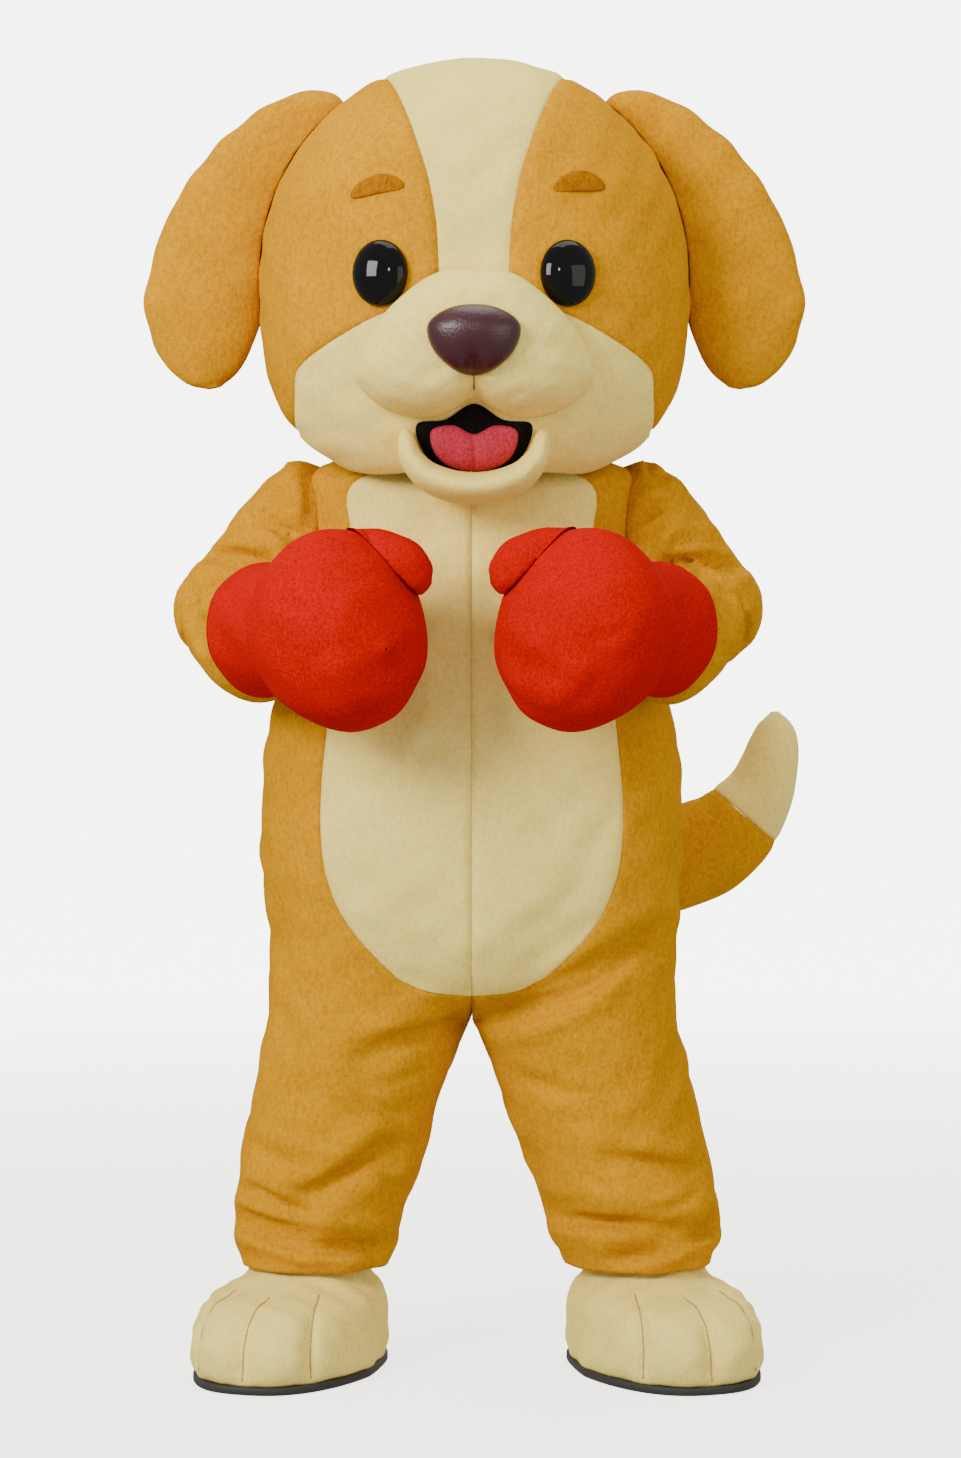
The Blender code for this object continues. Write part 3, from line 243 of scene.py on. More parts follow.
def edge_dip(points, sides, deep, wide):
    """How far a sewn edge is drawn in, by the distance from it along the grid."""
    dip = np.zeros(points.shape[:2])
    for axis, low, high in ((1, "first", "last"), (0, "top", "bottom")):
        step = np.linalg.norm(np.diff(points, axis=axis), axis=-1)
        start = np.zeros_like(np.take(step, [0], axis))
        from_low = np.concatenate([start, np.cumsum(step, axis=axis)], axis)
        from_high = np.take(from_low, [-1], axis) - from_low
        if low in sides:
            dip += np.exp(-((from_low / wide) ** 1.4))
        if high in sides:
            dip += np.exp(-((from_high / wide) ** 1.4))
    return deep * np.minimum(dip, 1)


# %% [markdown]
# Every finish is built from nodes. A colour is written as the sRGB hex that a dyer's card gives, and
# one function turns it to the linear numbers that the renderer adds up. One small function places a
# node with its settings and its links, so that each material below reads as a short recipe.

# %% Colours and nodes
def linear(code):
    """An sRGB hex code as linear colour with alpha."""
    parts = [int(code[i:i + 2], 16) / 255 for i in (0, 2, 4)]
    return tuple(c / 12.92 if c <= 0.04045 else ((c + 0.055) / 1.055) ** 2.4 for c in parts) + (1.0,)


def add_node(tree, kind, settings=(), links=()):
    """A node of one kind, with its own settings, its sockets' values and the sockets that feed it."""
    made = tree.nodes.new(kind)
    for key, value in dict(settings).items():
        if isinstance(key, str) and hasattr(made, key):
            setattr(made, key, value)
        else:
            made.inputs[key].default_value = value
    for key, source in dict(links).items():
        tree.links.new(source, made.inputs[key])
    return made


def new_finish(name):
    """An empty material with its output and a principled shader."""
    material = bpy.data.materials.new(name)
    material.use_nodes = True
    tree = material.node_tree
    shader = tree.nodes["Principled BSDF"]
    return material, tree, shader


# %% [markdown]
# The suit and the head are short plush: an acrylic knit whose pile stands 3 mm high and clumps in tufts
# of about 6 mm. It shows bright tips and no gloss at all, and the darker root colour between the clumps
# is painted shade, laid where the pile sinks. Two noises give the clumps and the single fibres, one slow
# noise the hand-brushed patches, and the same clumps raise a bump.

# %% Plush and fleece
BRUSHED = 0.92, 1.03  # darkest and lightest of the hand-brushed patches


def pile(name, tip, root, clump_mm, bump_mm, sheen):
    """A pile fabric: tip colour, root colour (painted shade between clumps), clump width and depth."""
    material, tree, shader = new_finish(name)
    place = add_node(tree, "ShaderNodeTexCoord").outputs["Object"]
    combed = add_node(tree, "ShaderNodeMapping", {"Scale": (1, 1, 0.72)}, {"Vector": place}).outputs[0]
    clumps = add_node(tree, "ShaderNodeTexNoise",
                      {"Scale": 1000 / clump_mm, "Detail": 2.5, "Roughness": 0.55, "Distortion": 0.6},
                      {"Vector": combed}).outputs[0]
    fibres = add_node(tree, "ShaderNodeTexNoise",
                      {"Scale": 2600 / clump_mm, "Detail": 2.0, "Roughness": 0.7},
                      {"Vector": combed}).outputs[0]
    slow = add_node(tree, "ShaderNodeTexNoise", {"Scale": 9.0, "Detail": 2.0}, {"Vector": place}).outputs[0]
    both = add_node(tree, "ShaderNodeMix", {"data_type": "FLOAT", "Factor": 0.35},
                    {"A": clumps, "B": fibres}).outputs[0]
    painted_shade_mix = add_node(tree, "ShaderNodeMapRange",
                    {"From Min": 0.34, "From Max": 0.60, "To Min": 0.0, "To Max": 1.0},
                    {"Value": both}).outputs[0]
    # The root colour, mixed in where the clump noise is low and the bump sinks, is painted shade between
    # the clumps.
    colour = add_node(tree, "ShaderNodeMix", {"data_type": "RGBA", 6: linear(root), 7: linear(tip)},
                      {0: painted_shade_mix}).outputs[2]
    worn = add_node(tree, "ShaderNodeMapRange",
                    {"From Min": 0.3, "From Max": 0.7, "To Min": BRUSHED[0], "To Max": BRUSHED[1]},
                    {"Value": slow}).outputs[0]
    shaded = add_node(tree, "ShaderNodeVectorMath", {"operation": "SCALE"},
                      {0: colour, "Scale": worn}).outputs[0]
    tree.links.new(shaded, shader.inputs["Base Color"])
    bump = add_node(tree, "ShaderNodeBump", {"Strength": 0.75, "Distance": bump_mm / 1000},
                    {"Height": both}).outputs[0]
    tree.links.new(bump, shader.inputs["Normal"])
    shader.inputs["Roughness"].default_value = 0.95
    shader.inputs["Specular IOR Level"].default_value = 0.03
    shader.inputs["Sheen Weight"].default_value = sheen
    shader.inputs["Sheen Roughness"].default_value = 0.45
    shader.inputs["Sheen Tint"].default_value = linear(tip)
    return material


# Each pile's second colour is its darker root, which is painted shade between the clumps.
FINISH = {
    "amber_plush": pile("amber_plush", "D69800", "BE7C00", 6.0, 2.8, 0.02),
    "brow_plush": pile("brow_plush", "B06C00", "845000", 6.0, 2.5, 0.02),
    "cream_plush": pile("cream_plush", "FFEC86", "F8D868", 6.0, 2.2, 0.02),
    "red_fleece": pile("red_fleece", "C80A06", "A00402", 3.0, 1.0, 0.02),
    "pink_tongue": pile("pink_tongue", "D04058", "9A2A3C", 3.0, 1.0, 0.02),
    "black_lining": pile("black_lining", "1B191A", "0B0A0B", 3.0, 0.8, 0.1),
}
print("pile finishes", sorted(FINISH))

# %% [markdown]
# Three finishes are smooth. The nose is a grained imitation leather, the eyes are vacuum-formed gloss
# plastic, and the soles are moulded rubber with a fine pitted skin.

# %% Leather, gloss plastic and rubber
def grained(name, colour, rough, grain_mm, bump_mm):
    """A smooth finish with a fine cell grain."""
    material, tree, shader = new_finish(name)
    place = add_node(tree, "ShaderNodeTexCoord").outputs["Object"]
    shader.inputs["Base Color"].default_value = linear(colour)
    shader.inputs["Roughness"].default_value = rough
    if bump_mm:
        cells = add_node(tree, "ShaderNodeTexVoronoi", {"Scale": 1000 / grain_mm},
                         {"Vector": place}).outputs[0]
        bump = add_node(tree, "ShaderNodeBump", {"Strength": 0.6, "Distance": bump_mm / 1000},
                        {"Height": cells})
        tree.links.new(bump.outputs[0], shader.inputs["Normal"])
    return material


FINISH["plum_nose"] = grained("plum_nose", "380A14", 0.38, 3.4, 0.5)
FINISH["black_eye"] = grained("black_eye", "040404", 0.05, 4.0, 0.0)
eye_shader = FINISH["black_eye"].node_tree.nodes["Principled BSDF"]
eye_shader.inputs["Specular IOR Level"].default_value = 0.22
FINISH["black_sole"] = grained("black_sole", "2C2A27", 0.7, 2.5, 0.4)
print("smooth finishes", "plum_nose, black_eye, black_sole")

# %% [markdown]
# The photograph was taken in a studio on white paper, with the camera level at waist height and about 4.6 m
# away. A long lens keeps the legs and the head in proportion. Large soft lights stand to the left and in
# front. The paper all round glows, as it does in an overlit studio, but less under the feet, so that the
# shoes stand in a soft shadow.

# %% Camera, floor and light
CAMERA_PLACE = (0.0124, -4.600, -0.424)
LENS = 78.1
PAPER_GLOW, BACKDROP_GLOW = 2.6, 6.4  # the lit paper, which only the camera sees as bright

camera_data = bpy.data.cameras.new("camera")
camera_data.lens = LENS
camera = bpy.data.objects.new("camera", camera_data)
camera.location = CAMERA_PLACE
camera.rotation_euler = (math.pi / 2, 0, 0)
bpy.context.collection.objects.link(camera)
bpy.context.scene.camera = camera

floor_mesh = bpy.data.meshes.new("floor")
floor_mesh.from_pydata([(-30, -30, -NECK_HEIGHT), (30, -30, -NECK_HEIGHT), (30, 30, -NECK_HEIGHT),
                        (-30, 30, -NECK_HEIGHT)], [], [(0, 1, 2, 3)])
floor = bpy.data.objects.new("floor", floor_mesh)
bpy.context.collection.objects.link(floor)
paper, paper_tree, paper_shader = new_finish("paper")
paper_shader.inputs["Base Color"].default_value = linear("F4F2EE")
paper_shader.inputs["Roughness"].default_value = 0.9
paper_shader.inputs["Emission Color"].default_value = linear("FFFDFA")
spot = add_node(paper_tree, "ShaderNodeTexCoord").outputs["Object"]
away = add_node(paper_tree, "ShaderNodeVectorMath", {"operation": "LENGTH"}, {0: spot}).outputs["Value"]
glow = add_node(paper_tree, "ShaderNodeMapRange",
                {"interpolation_type": "SMOOTHSTEP", "From Min": 1.6, "From Max": 7.0, "To Min": PAPER_GLOW,
                 "To Max": BACKDROP_GLOW - 0.5}, {"Value": away}).outputs[0]
paper_tree.links.new(glow, paper_shader.inputs["Emission Strength"])
floor_mesh.materials.append(paper)

dome_mesh = bpy.data.meshes.new("backdrop")
dome_form = bmesh.new()
bmesh.ops.create_icosphere(dome_form, subdivisions=4, radius=25.0)
dome_form.to_mesh(dome_mesh)
dome_form.free()
backdrop = bpy.data.objects.new("backdrop", dome_mesh)
bpy.context.collection.objects.link(backdrop)
wall_paper, _, wall_shader = new_finish("lit_paper")
wall_shader.inputs["Base Color"].default_value = (0, 0, 0, 1)
wall_shader.inputs["Emission Color"].default_value = linear("FFFDFA")
wall_shader.inputs["Emission Strength"].default_value = BACKDROP_GLOW
dome_mesh.materials.append(wall_paper)
for stage in (floor, backdrop):
    stage.visible_diffuse = stage.visible_glossy = stage.visible_shadow = False

LIGHTS = [  # name, place, aims at, width, power, colour
    ("key", (-2.8, -3.2, 1.5), (0, 0, -0.2), 1.8, 215, "FFFDFA"),
    ("fill", (3.2, -3.0, 0.6), (0, 0, -0.4), 2.6, 52, "FFF3E0"),
    ("top", (0.2, 0.2, 3.0), (0, 0, -0.5), 2.4, 66, "FFFFFF"),
    ("rim", (0.8, 3.4, 1.2), (0, 0, -0.2), 2.2, 55, "FFFFFF"),
    ("catch", (0.0, -4.2, 1.4), (0, 0, 0.2), 0.3, 14, "FFFFFF"),
]
for name, at, aim, wide, watts, colour in LIGHTS:
    data = bpy.data.lights.new(name, "AREA")
    data.energy, data.size, data.color = watts, wide, linear(colour)[:3]
    lamp = bpy.data.objects.new(name, data)
    lamp.location = at
    away = unit(np.array(at) - np.array(aim))
    lamp.rotation_euler = (math.acos(away[2]), 0, math.atan2(away[1], away[0]) + math.pi / 2)
    bpy.context.collection.objects.link(lamp)
world = bpy.data.worlds.new("studio")
world.use_nodes = True
world.node_tree.nodes["Background"].inputs[0].default_value = linear("F6F6F6")
world.node_tree.nodes["Background"].inputs[1].default_value = 0.68
bpy.context.scene.world = world
print("lights", [row[0] for row in LIGHTS])

# %% [markdown]
# The suit is a jumpsuit cut wide. Its body is a rounded box section that grows from the neck to the
# hips, and below the hips each half turns into a leg. One function gives its outside for a side, a
# height and a place round the body, so panels that share a seam line meet exactly.

# %% The suit's form
TORSO = metres([  # mm: height, half width, depth in front, depth behind, rise of the sides
    (498, 294, 175, 190, 0), (550, 292.5, 193, 197, 0), (610, 293, 205, 202, 0),
    (667, 300, 214, 205, 0), (755, 306, 222, 204, 0), (813, 305, 222, 202, 0),
    (900, 298, 217, 198, 0), (950, 288, 209, 193, 0), (1000, 272, 198, 187, 0),
    (1050, 257, 188, 181, 0), (1100, 249, 181, 176, 0), (1150, 245, 175, 172, 0),
    (1190, 242, 170, 168, 3), (1230, 239, 164, 162, 12), (1265, 232, 155, 152, 24),
    (1280, 206, 144, 141, 22.5), (1290, 164, 130, 127, 20.1), (1300, 120, 113, 110, 11.8),
])
FULLNESS = 2.3  # squareness of the body's sections
CROTCH, CROTCH_TOP = 0.498, 0.628  # the fork, and where the underside starts to turn in
HIP_TOP, HIP_BOTTOM = 0.700, 0.440  # where the hips become legs
LEGS = {  # mm: height, centre from the middle, half width, half depth
    LEFT: metres([(142, 240.5, 106, 106), (158, 239.5, 112, 110), (173, 237.7, 120.5, 117),
           (202, 234, 126, 123), (260, 221, 130.8, 129), (318, 202, 137, 135),
           (377, 185, 140.5, 141), (435, 169, 143, 150), (498, 149, 149, 164)]),
    RIGHT: metres([(142, 227.5, 105.5, 106), (158, 227, 110, 109), (173, 227, 116, 114),
           (202, 223.2, 120, 119), (260, 210, 129.4, 128), (318, 198, 134.5, 134),
           (377, 184, 135.9, 140), (435, 169, 140.5, 150), (498, 148, 148, 164)]),
}
LARGE_FOLDS = metres([  # mm: side, view (-1 front, 1 back), half width, depth, then the line's x and height
    (RIGHT, -1, 18, 12, 238, 248, 112, 324), (RIGHT, -1, 14, 16, 322, 212, 140, 178),
    (RIGHT, -1, 14, 9, 310, 250, 225, 218), (RIGHT, -1, 24, 12, 20, 490, 145, 455),
    (RIGHT, 1, 18, 14, 310, 195, 150, 200), (RIGHT, 1, 30, 14, 50, 480, 240, 545),
    (RIGHT, 1, 22, 9, 280, 300, 130, 340), (LEFT, -1, 20, 14, 45, 510, 265, 625),
    (LEFT, -1, 16, 12, 115, 225, 285, 212), (LEFT, -1, 14, 15, 210, 172, 345, 205),
    (LEFT, -1, 18, 8, 195, 305, 310, 280), (LEFT, 1, 17, 15, 330, 205, 150, 190),
    (LEFT, 1, 28, 14, 40, 500, 220, 590), (LEFT, 1, 22, 10, 300, 330, 160, 290),
], 2)


def large_fold_depth(points, table, side, facing):
    """How far the large folds, which the solids have too, draw the cloth in."""
    x, z = np.abs(points[..., 0]), points[..., 2]
    depth = np.zeros(x.shape)
    for row_side, view, half, deep, *line in table:
        if row_side != side:
            continue
        off = from_line(x, z, *line)[1] / half
        shown = np.clip(facing * view, 0, 1)
        depth += deep * shown * (np.exp(-off**2) - 0.45 * np.exp(-((off - 1.9) ** 2)))
    return depth


def suit(side, height, u):
    """Outside of the suit. u: 0 at the centre front, 0.5 at the side, 1 at the centre back."""
    height, u = np.broadcast_arrays(np.asarray(height, float), np.asarray(u, float))
    half, front, back, rise = np.moveaxis(smooth(TORSO, height), -1, 0)
    centre, wide, deep = np.moveaxis(smooth(LEGS[side], height), -1, 0)
    cosine, sine = np.cos(math.pi * u), np.sin(math.pi * u)
    depth = np.where(cosine > 0, front, back)
    torso = np.stack([half * power(sine, 2 / FULLNESS), -depth * power(cosine, 2 / FULLNESS),
                      height + rise * sine**2], axis=-1)
    whole = 2 * math.pi * u
    leg = np.stack([centre - wide * np.cos(whole), -deep * np.sin(whole), height], axis=-1)
    t = np.clip((CROTCH_TOP - height) / (CROTCH_TOP - CROTCH), 0, 1)
    near = cosine**16
    share = near * (1 - np.sqrt(np.maximum(1 - t**2, 0)))
    share = share + (1 - near) * ease((HIP_TOP - height) / (HIP_TOP - HIP_BOTTOM))
    share = share[..., None]
    points = torso * (1 - share) + leg * share
    middle = centre * share[..., 0]
    out = unit(np.stack([points[..., 0] - middle, points[..., 1], np.zeros(height.shape)], axis=-1))
    points = points - out * large_fold_depth(points, LARGE_FOLDS, side, points[..., 1] / 0.05)[..., None]
    points[..., 0] = np.where(height >= CROTCH, np.maximum(points[..., 0], 0), points[..., 0])
    return points * np.array([side, 1, 1])


def suit_normals(side, height, u):
    """Outward directions of the suit; the centre seam's stay in its plane."""
    height, u = np.broadcast_arrays(np.asarray(height, float), np.asarray(u, float))
    down = suit(side, height - 4 * TINY, u) - suit(side, height + 4 * TINY, u)
    low, high = np.clip(u - 0.004, 0, 1), np.clip(u + 0.004, 0, 1)
    normals = unit(np.cross(suit(side, height, high) - suit(side, height, low), down)) * side * -1
    middle = (height > CROTCH - 1e-6) & ((u < 1e-6) | (u > 1 - 1e-6))
    normals[..., 0] = np.where(middle, 0, normals[..., 0])
    normals = unit(normals)
    fork = middle & (np.abs(height - CROTCH) < 1e-6)
    return np.where(fork[..., None], np.array([0, 0, -1.0]), normals)


# %% [markdown]
# A pattern cutter divides this form into a pale belly panel in two halves, a front panel with the front
# of the leg, and a back panel with the back of the leg. The armhole is an oval in the side seam. Rows
# are close together where the cloth turns quickly: at the neck, round the armhole, at the fork and at
# the hem.

# %% Panel edges
CLOTH = 0.0022  # thickness of the knit that carries the pile
BELLY_EDGE = metres([  # mm: height, half width of the pale panel
    (537.6, 0), (542, 44), (556, 88), (580, 120), (601.6, 142), (650, 180), (706, 204),
    (775.5, 213), (831, 212), (928.5, 203), (1050, 192), (1192.6, 174), (1262, 160), (1282, 122),
    (1300, 85),
])
ARMHOLE = (1.1675, 0.1075, 0.1437)  # middle height, half height, half width round the body


def belly_turn(side, heights):
    """Where round the body the pale panel ends, for each height."""
    heights = np.asarray(heights, float)
    half = smooth(BELLY_EDGE, heights)[..., 0]
    turn = farthest(np.zeros(heights.shape), np.full(heights.shape, 0.5),
                    lambda u: np.abs(suit(side, heights, u)[..., 0]) < half)
    return np.where(heights <= BELLY_EDGE[0][0], 0.0, turn)


def armhole_turn(heights):
    middle, half, turn = ARMHOLE
    return turn * np.sqrt(np.maximum(0.0, 1 - ((heights - middle) / half) ** 2))


def suit_heights():
    """Rows from the neck to the hem."""
    middle, half, _ = ARMHOLE
    hole = middle + half * np.cos(np.linspace(0, math.pi, 37))
    body = np.linspace(hole[-1], BELLY_EDGE[0][0] + 0.03, 76)[1:]
    pale_end = BELLY_EDGE[0][0] + 0.03 * np.linspace(1, 0, 10)[1:] ** 2
    fork = CROTCH + (pale_end[-1] - CROTCH) * np.linspace(1, 0, 9)[1:] ** 2
    leg = np.linspace(CROTCH, LEGS[LEFT][0][0], 62)[1:]
    return np.concatenate([np.linspace(1.300, hole[0], 5)[:-1], hole, body, pale_end, fork, leg])


print("suit rows", len(suit_heights()))

# %% [markdown]
# These are the creases of the suit's own pieces, read off the worn costume. The crotch pulls into long
# diagonals, and the legs pile up above the shoes in short arcs. The back was never seen, so it gets the
# same kinds of crease where a standing wearer's suit has them: under the seat, at the knees and above
# the heels.

# %% The suit's creases
SUIT_CREASES = metres([  # mm: side (0 both), view (-1 front, 1 back), half width, depth, line's x, height
    (RIGHT, -1, 8, 6, 239, 259, 182, 285, 115, 334),
    (RIGHT, -1, 6, 5, 311, 262, 262, 240, 222, 227),
    (RIGHT, -1, 7, 7, 330, 205, 240, 180, 142, 173.4),
    (RIGHT, -1, 6, 4.5, 338, 228, 290, 214, 250, 211),
    (RIGHT, -1, 10, 6, 8, 505, 70, 484, 143, 471.6),
    (RIGHT, -1, 12, 4, 277, 528, 262, 490, 256, 450),
    (RIGHT, -1, 11, 4, 319, 324, 260, 303, 200, 296),
    (RIGHT, -1, 9, 3.5, 66, 352, 80, 260, 101, 155),
    (RIGHT, -1, 12, 3, 40, 440, 110, 415, 170, 412),
    (RIGHT, -1, 8, 3.5, 135, 300, 110, 262, 108, 225),
    (RIGHT, -1, 14, 3, 262, 690, 272, 620, 262, 560),
    (LEFT, -1, 8, 6.5, 40, 512, 110, 530, 184, 563, 270, 642),
    (LEFT, -1, 6, 4, 55, 497, 130, 520, 187, 545),
    (LEFT, -1, 7, 6.5, 115, 206, 165, 217, 214, 216.5, 285.5, 207.2),
    (LEFT, -1, 6.5, 6, 208, 163.6, 280, 176, 349, 198.7),
    (LEFT, -1, 6, 4.5, 264, 235.3, 300, 246, 328, 262),
    (LEFT, -1, 10, 4.5, 198, 312.7, 260, 300, 314, 290.2),
    (LEFT, -1, 7, 3, 156, 290, 175, 276, 190, 267.7),
    (LEFT, -1, 11, 3.5, 60, 430, 120, 405, 185, 400), (LEFT, -1, 9, 3, 75, 340, 92, 262, 118, 175),
    (LEFT, -1, 15, 3, 275, 740, 285, 680, 272, 620),
    (LEFT, -1, 12, 3, 305, 480, 280, 430, 272, 380),
    (0, -1, 16, 2.5, 100, 640, 150, 700, 190, 790),
    (0, -1, 18, 2.5, 205, 1060, 215, 980, 240, 900),
    (RIGHT, 1, 10, 6.5, 20, 510, 100, 505, 190, 530),
    (RIGHT, 1, 9, 4.5, 250, 350, 180, 325, 100, 335),
    (RIGHT, 1, 8, 4, 290, 292, 230, 282, 160, 262), (RIGHT, 1, 7, 6, 325, 222, 240, 205, 140, 210),
    (RIGHT, 1, 6.5, 5.5, 310, 172, 230, 163, 170, 175),
    (RIGHT, 1, 15, 3.5, 210, 880, 160, 835, 70, 820),
    (RIGHT, 1, 14, 4, 190, 1190, 140, 1110, 110, 1020),
    (LEFT, 1, 10, 6.5, 20, 515, 90, 495, 170, 510, 240, 560),
    (LEFT, 1, 9, 4.5, 270, 372, 190, 352, 120, 362),
    (LEFT, 1, 8, 4.5, 300, 305, 210, 288, 140, 300), (LEFT, 1, 7, 6, 335, 228, 250, 215, 150, 198),
    (LEFT, 1, 6.5, 5, 300, 178, 240, 168, 180, 166),
    (LEFT, 1, 15, 3.5, 200, 850, 140, 812, 85, 780),
    (LEFT, 1, 14, 4, 200, 1200, 155, 1130, 118, 1060), (0, 1, 18, 3, 30, 640, 70, 590, 120, 560),
], 2)


CREASE_PULL = 1.75  # the suit's plush is thick, so its creases are deep and round
TOWARDS_SIDES = 2.6  # how far round the body the creases of one view reach


def creased(points, normals, table, side, sides=(), dip=0.0022, wide=0.006, soft=0.0022, pull=1.0):
    """Draws a grid in by its creases, its seam edges and a slow unevenness."""
    facing = -normals[..., 1] * TOWARDS_SIDES
    depth = crease_depth(np.abs(points[..., 0]), points[..., 2], facing, table, side) * pull
    dips = edge_dip(points, sides, dip, wide)
    keep = 1 - dips / max(dip, 1e-9)
    return points - normals * (depth * keep + dips + uneven(points, 0.11, soft) * keep)[..., None]


# %% [markdown]
# Each panel is a grid between its two edges. Its sewn edges are drawn in by 2 mm, as a seam pulls the
# pile under, and its two faces are a cloth's thickness apart.

# %% Belly, front and back panels
def suit_panel(name, slot, side, heights, first, last, cols):
    """One panel between two lines round the body, as a thin shell."""
    across = np.linspace(0, 1, cols + 1)
    grid = heights[:, None] + 0 * across
    turns = first[:, None] * (1 - across) + last[:, None] * across
    points, normals = suit(side, grid, turns), suit_normals(side, grid, turns)
    outer = creased(points, normals, SUIT_CREASES, side, ("first", "last"), pull=CREASE_PULL)
    for edge, beside in ((0, 1), (-1, -2)):
        inward = unit(outer[:, beside] - outer[:, edge])
        outer[:, edge] += inward * SEAM / 2
    inner = outer - normals * CLOTH
    for layer in (outer, inner):
        x = side * layer[..., 0]
        layer[..., 0] = side * np.where(grid > CROTCH - 1e-6, np.maximum(x, SEAM / 2), x)
    mesh_piece(name, *shell(outer, inner, False), slot, name.replace("cloth_", ""))


heights = suit_heights()
hole = armhole_turn(heights)
pale = heights >= BELLY_EDGE[0][0] - 1e-9
for side, word in SIDES:
    edge = belly_turn(side, heights)
    suit_panel("cloth_belly_" + word, "cream_plush", side, heights[pale], 0 * edge[pale], edge[pale], 26)
    suit_panel("cloth_front_" + word, "amber_plush", side, heights, edge, 0.5 - hole, 36)
    suit_panel("cloth_back_" + word, "amber_plush", side, heights, 0.5 + hole, 1 + 0 * hole, 44)
print("suit panels", [n for n in MADE if n.startswith("cloth_")])

# %% [markdown]
# A sleeve is a tube set into the armhole, bent at the elbow, where it gathers into arcs. Its centre
# line, its direction and its two half widths are given step by step. Points that would lie inside the
# body are pushed just outside it, so the sleeve rests against the side.

# %% The sleeves' form
SLEEVE = [  # step, centre x, y, height, heading x, y, z, half height, half depth
    (1.0, 0.255, -0.003, 1.179, 0.995, 0.0, -0.1, 0.125, 0.087),
    (2.0, 0.284, 0.007, 1.153, 0.949, -0.125, -0.29, 0.112, 0.104),
    (3.0, 0.307, -0.001, 1.121, 0.797, -0.289, -0.531, 0.098, 0.096),
    (4.0, 0.319, -0.005, 1.097, 0.657, -0.376, -0.653, 0.098, 0.104),
    (5.0, 0.345, -0.03, 1.072, 0.391, -0.479, -0.786, 0.089, 0.095),
    (6.0, 0.337, -0.058, 1.051, 0.128, -0.616, -0.777, 0.091, 0.086),
    (7.0, 0.326, -0.087, 1.059, 0.094, -0.639, -0.764, 0.092, 0.086),
    (8.0, 0.316, -0.12, 1.057, -0.187, -0.812, -0.553, 0.086, 0.089),
    (9.0, 0.296, -0.158, 1.039, -0.473, -0.859, -0.193, 0.089, 0.08),
    (10.0, 0.286, -0.181, 1.054, -0.57, -0.82, 0.0, 0.081, 0.081),
    (11.0, 0.272, -0.202, 1.054, -0.57, -0.82, 0.0, 0.08, 0.08),
]
BODY_GAP = 0.0035  # between a sleeve and the body it lies against
REACH_STEPS = (2.0, 9.5)  # part of the sleeve that bends inwards with the glove
REACH = {LEFT: (-0.028, -0.022, 0.0), RIGHT: (0.0, 0.0, 0.0)}  # how much further in a glove is held
SLEEVE_FOLDS = metres([  # mm: side, view, half width, depth, then the line's x and height
    (RIGHT, -1, 13, 13, 372, 1165, 300, 1152), (RIGHT, -1, 14, 10, 300, 1218, 245, 1198),
    (RIGHT, -1, 11, 8, 405, 1120, 375, 1040), (RIGHT, -1, 15, 10, 318, 1262, 285, 1300),
    (LEFT, -1, 13, 13, 280, 1152, 385, 1150), (LEFT, -1, 14, 11, 222, 1205, 290, 1245),
    (LEFT, -1, 11, 9, 330, 1135, 372, 1030), (LEFT, -1, 14, 9, 268, 1310, 270, 1275),
], 2)
SLEEVE_CREASES = metres([
    (RIGHT, -1, 6, 5.5, 298.6, 1213.2, 272, 1200, 243.2, 1191.9),
    (RIGHT, -1, 6.5, 7.5, 378, 1168, 330, 1164.9, 283, 1152),
    (RIGHT, -1, 7, 6, 341, 1122, 380, 1112, 397, 1074, 392, 1034),
    (RIGHT, -1, 6, 4, 360, 1090, 378, 1060, 374, 1020),
    (RIGHT, -1, 6.5, 4.5, 420, 1128, 417, 1080, 408, 1040),
    (RIGHT, -1, 7, 4.5, 232, 1290, 230, 1240, 236, 1190),
    (RIGHT, -1, 10, 4.5, 294, 1304, 315, 1280, 330, 1256),
    (RIGHT, -1, 8, 3.5, 395, 1205, 365, 1195, 335, 1197),
    (LEFT, -1, 6, 6, 263, 1314, 258, 1296, 260, 1279),
    (LEFT, -1, 6, 5.5, 217.6, 1201.8, 250, 1218, 278.7, 1238.8),
    (LEFT, -1, 5.5, 4.5, 244.6, 1176.2, 270, 1197, 291.5, 1223.1),
    (LEFT, -1, 6, 5.5, 275.9, 1176.2, 322.8, 1191.9, 378.3, 1179.1),
    (LEFT, -1, 6.5, 7.5, 270.2, 1150.6, 322.8, 1157.7, 389.6, 1142.1),
    (LEFT, -1, 7, 5.5, 322.8, 1139.2, 352, 1105, 364, 1062.5, 360, 1001.3),
    (LEFT, -1, 6.5, 4.5, 352.7, 1133.6, 383, 1100, 392.5, 1062.5, 389.6, 1028.3),
    (LEFT, -1, 8, 3, 405, 1215, 370, 1225, 335, 1222),
    (RIGHT, 1, 8, 6, 400, 1160, 350, 1150, 290, 1162),
    (RIGHT, 1, 7, 5, 420, 1110, 370, 1085, 310, 1100),
    (RIGHT, 1, 7, 4.5, 310, 1230, 280, 1190, 250, 1175),
    (RIGHT, 1, 8, 4, 400, 1050, 360, 1030, 300, 1050),
    (LEFT, 1, 8, 6, 390, 1170, 340, 1155, 275, 1150),
    (LEFT, 1, 7, 5.5, 410, 1120, 360, 1100, 300, 1110),
    (LEFT, 1, 7, 4.5, 300, 1250, 275, 1215, 255, 1200),
    (LEFT, 1, 8, 4.5, 390, 1060, 350, 1035, 290, 1045),
], 2)


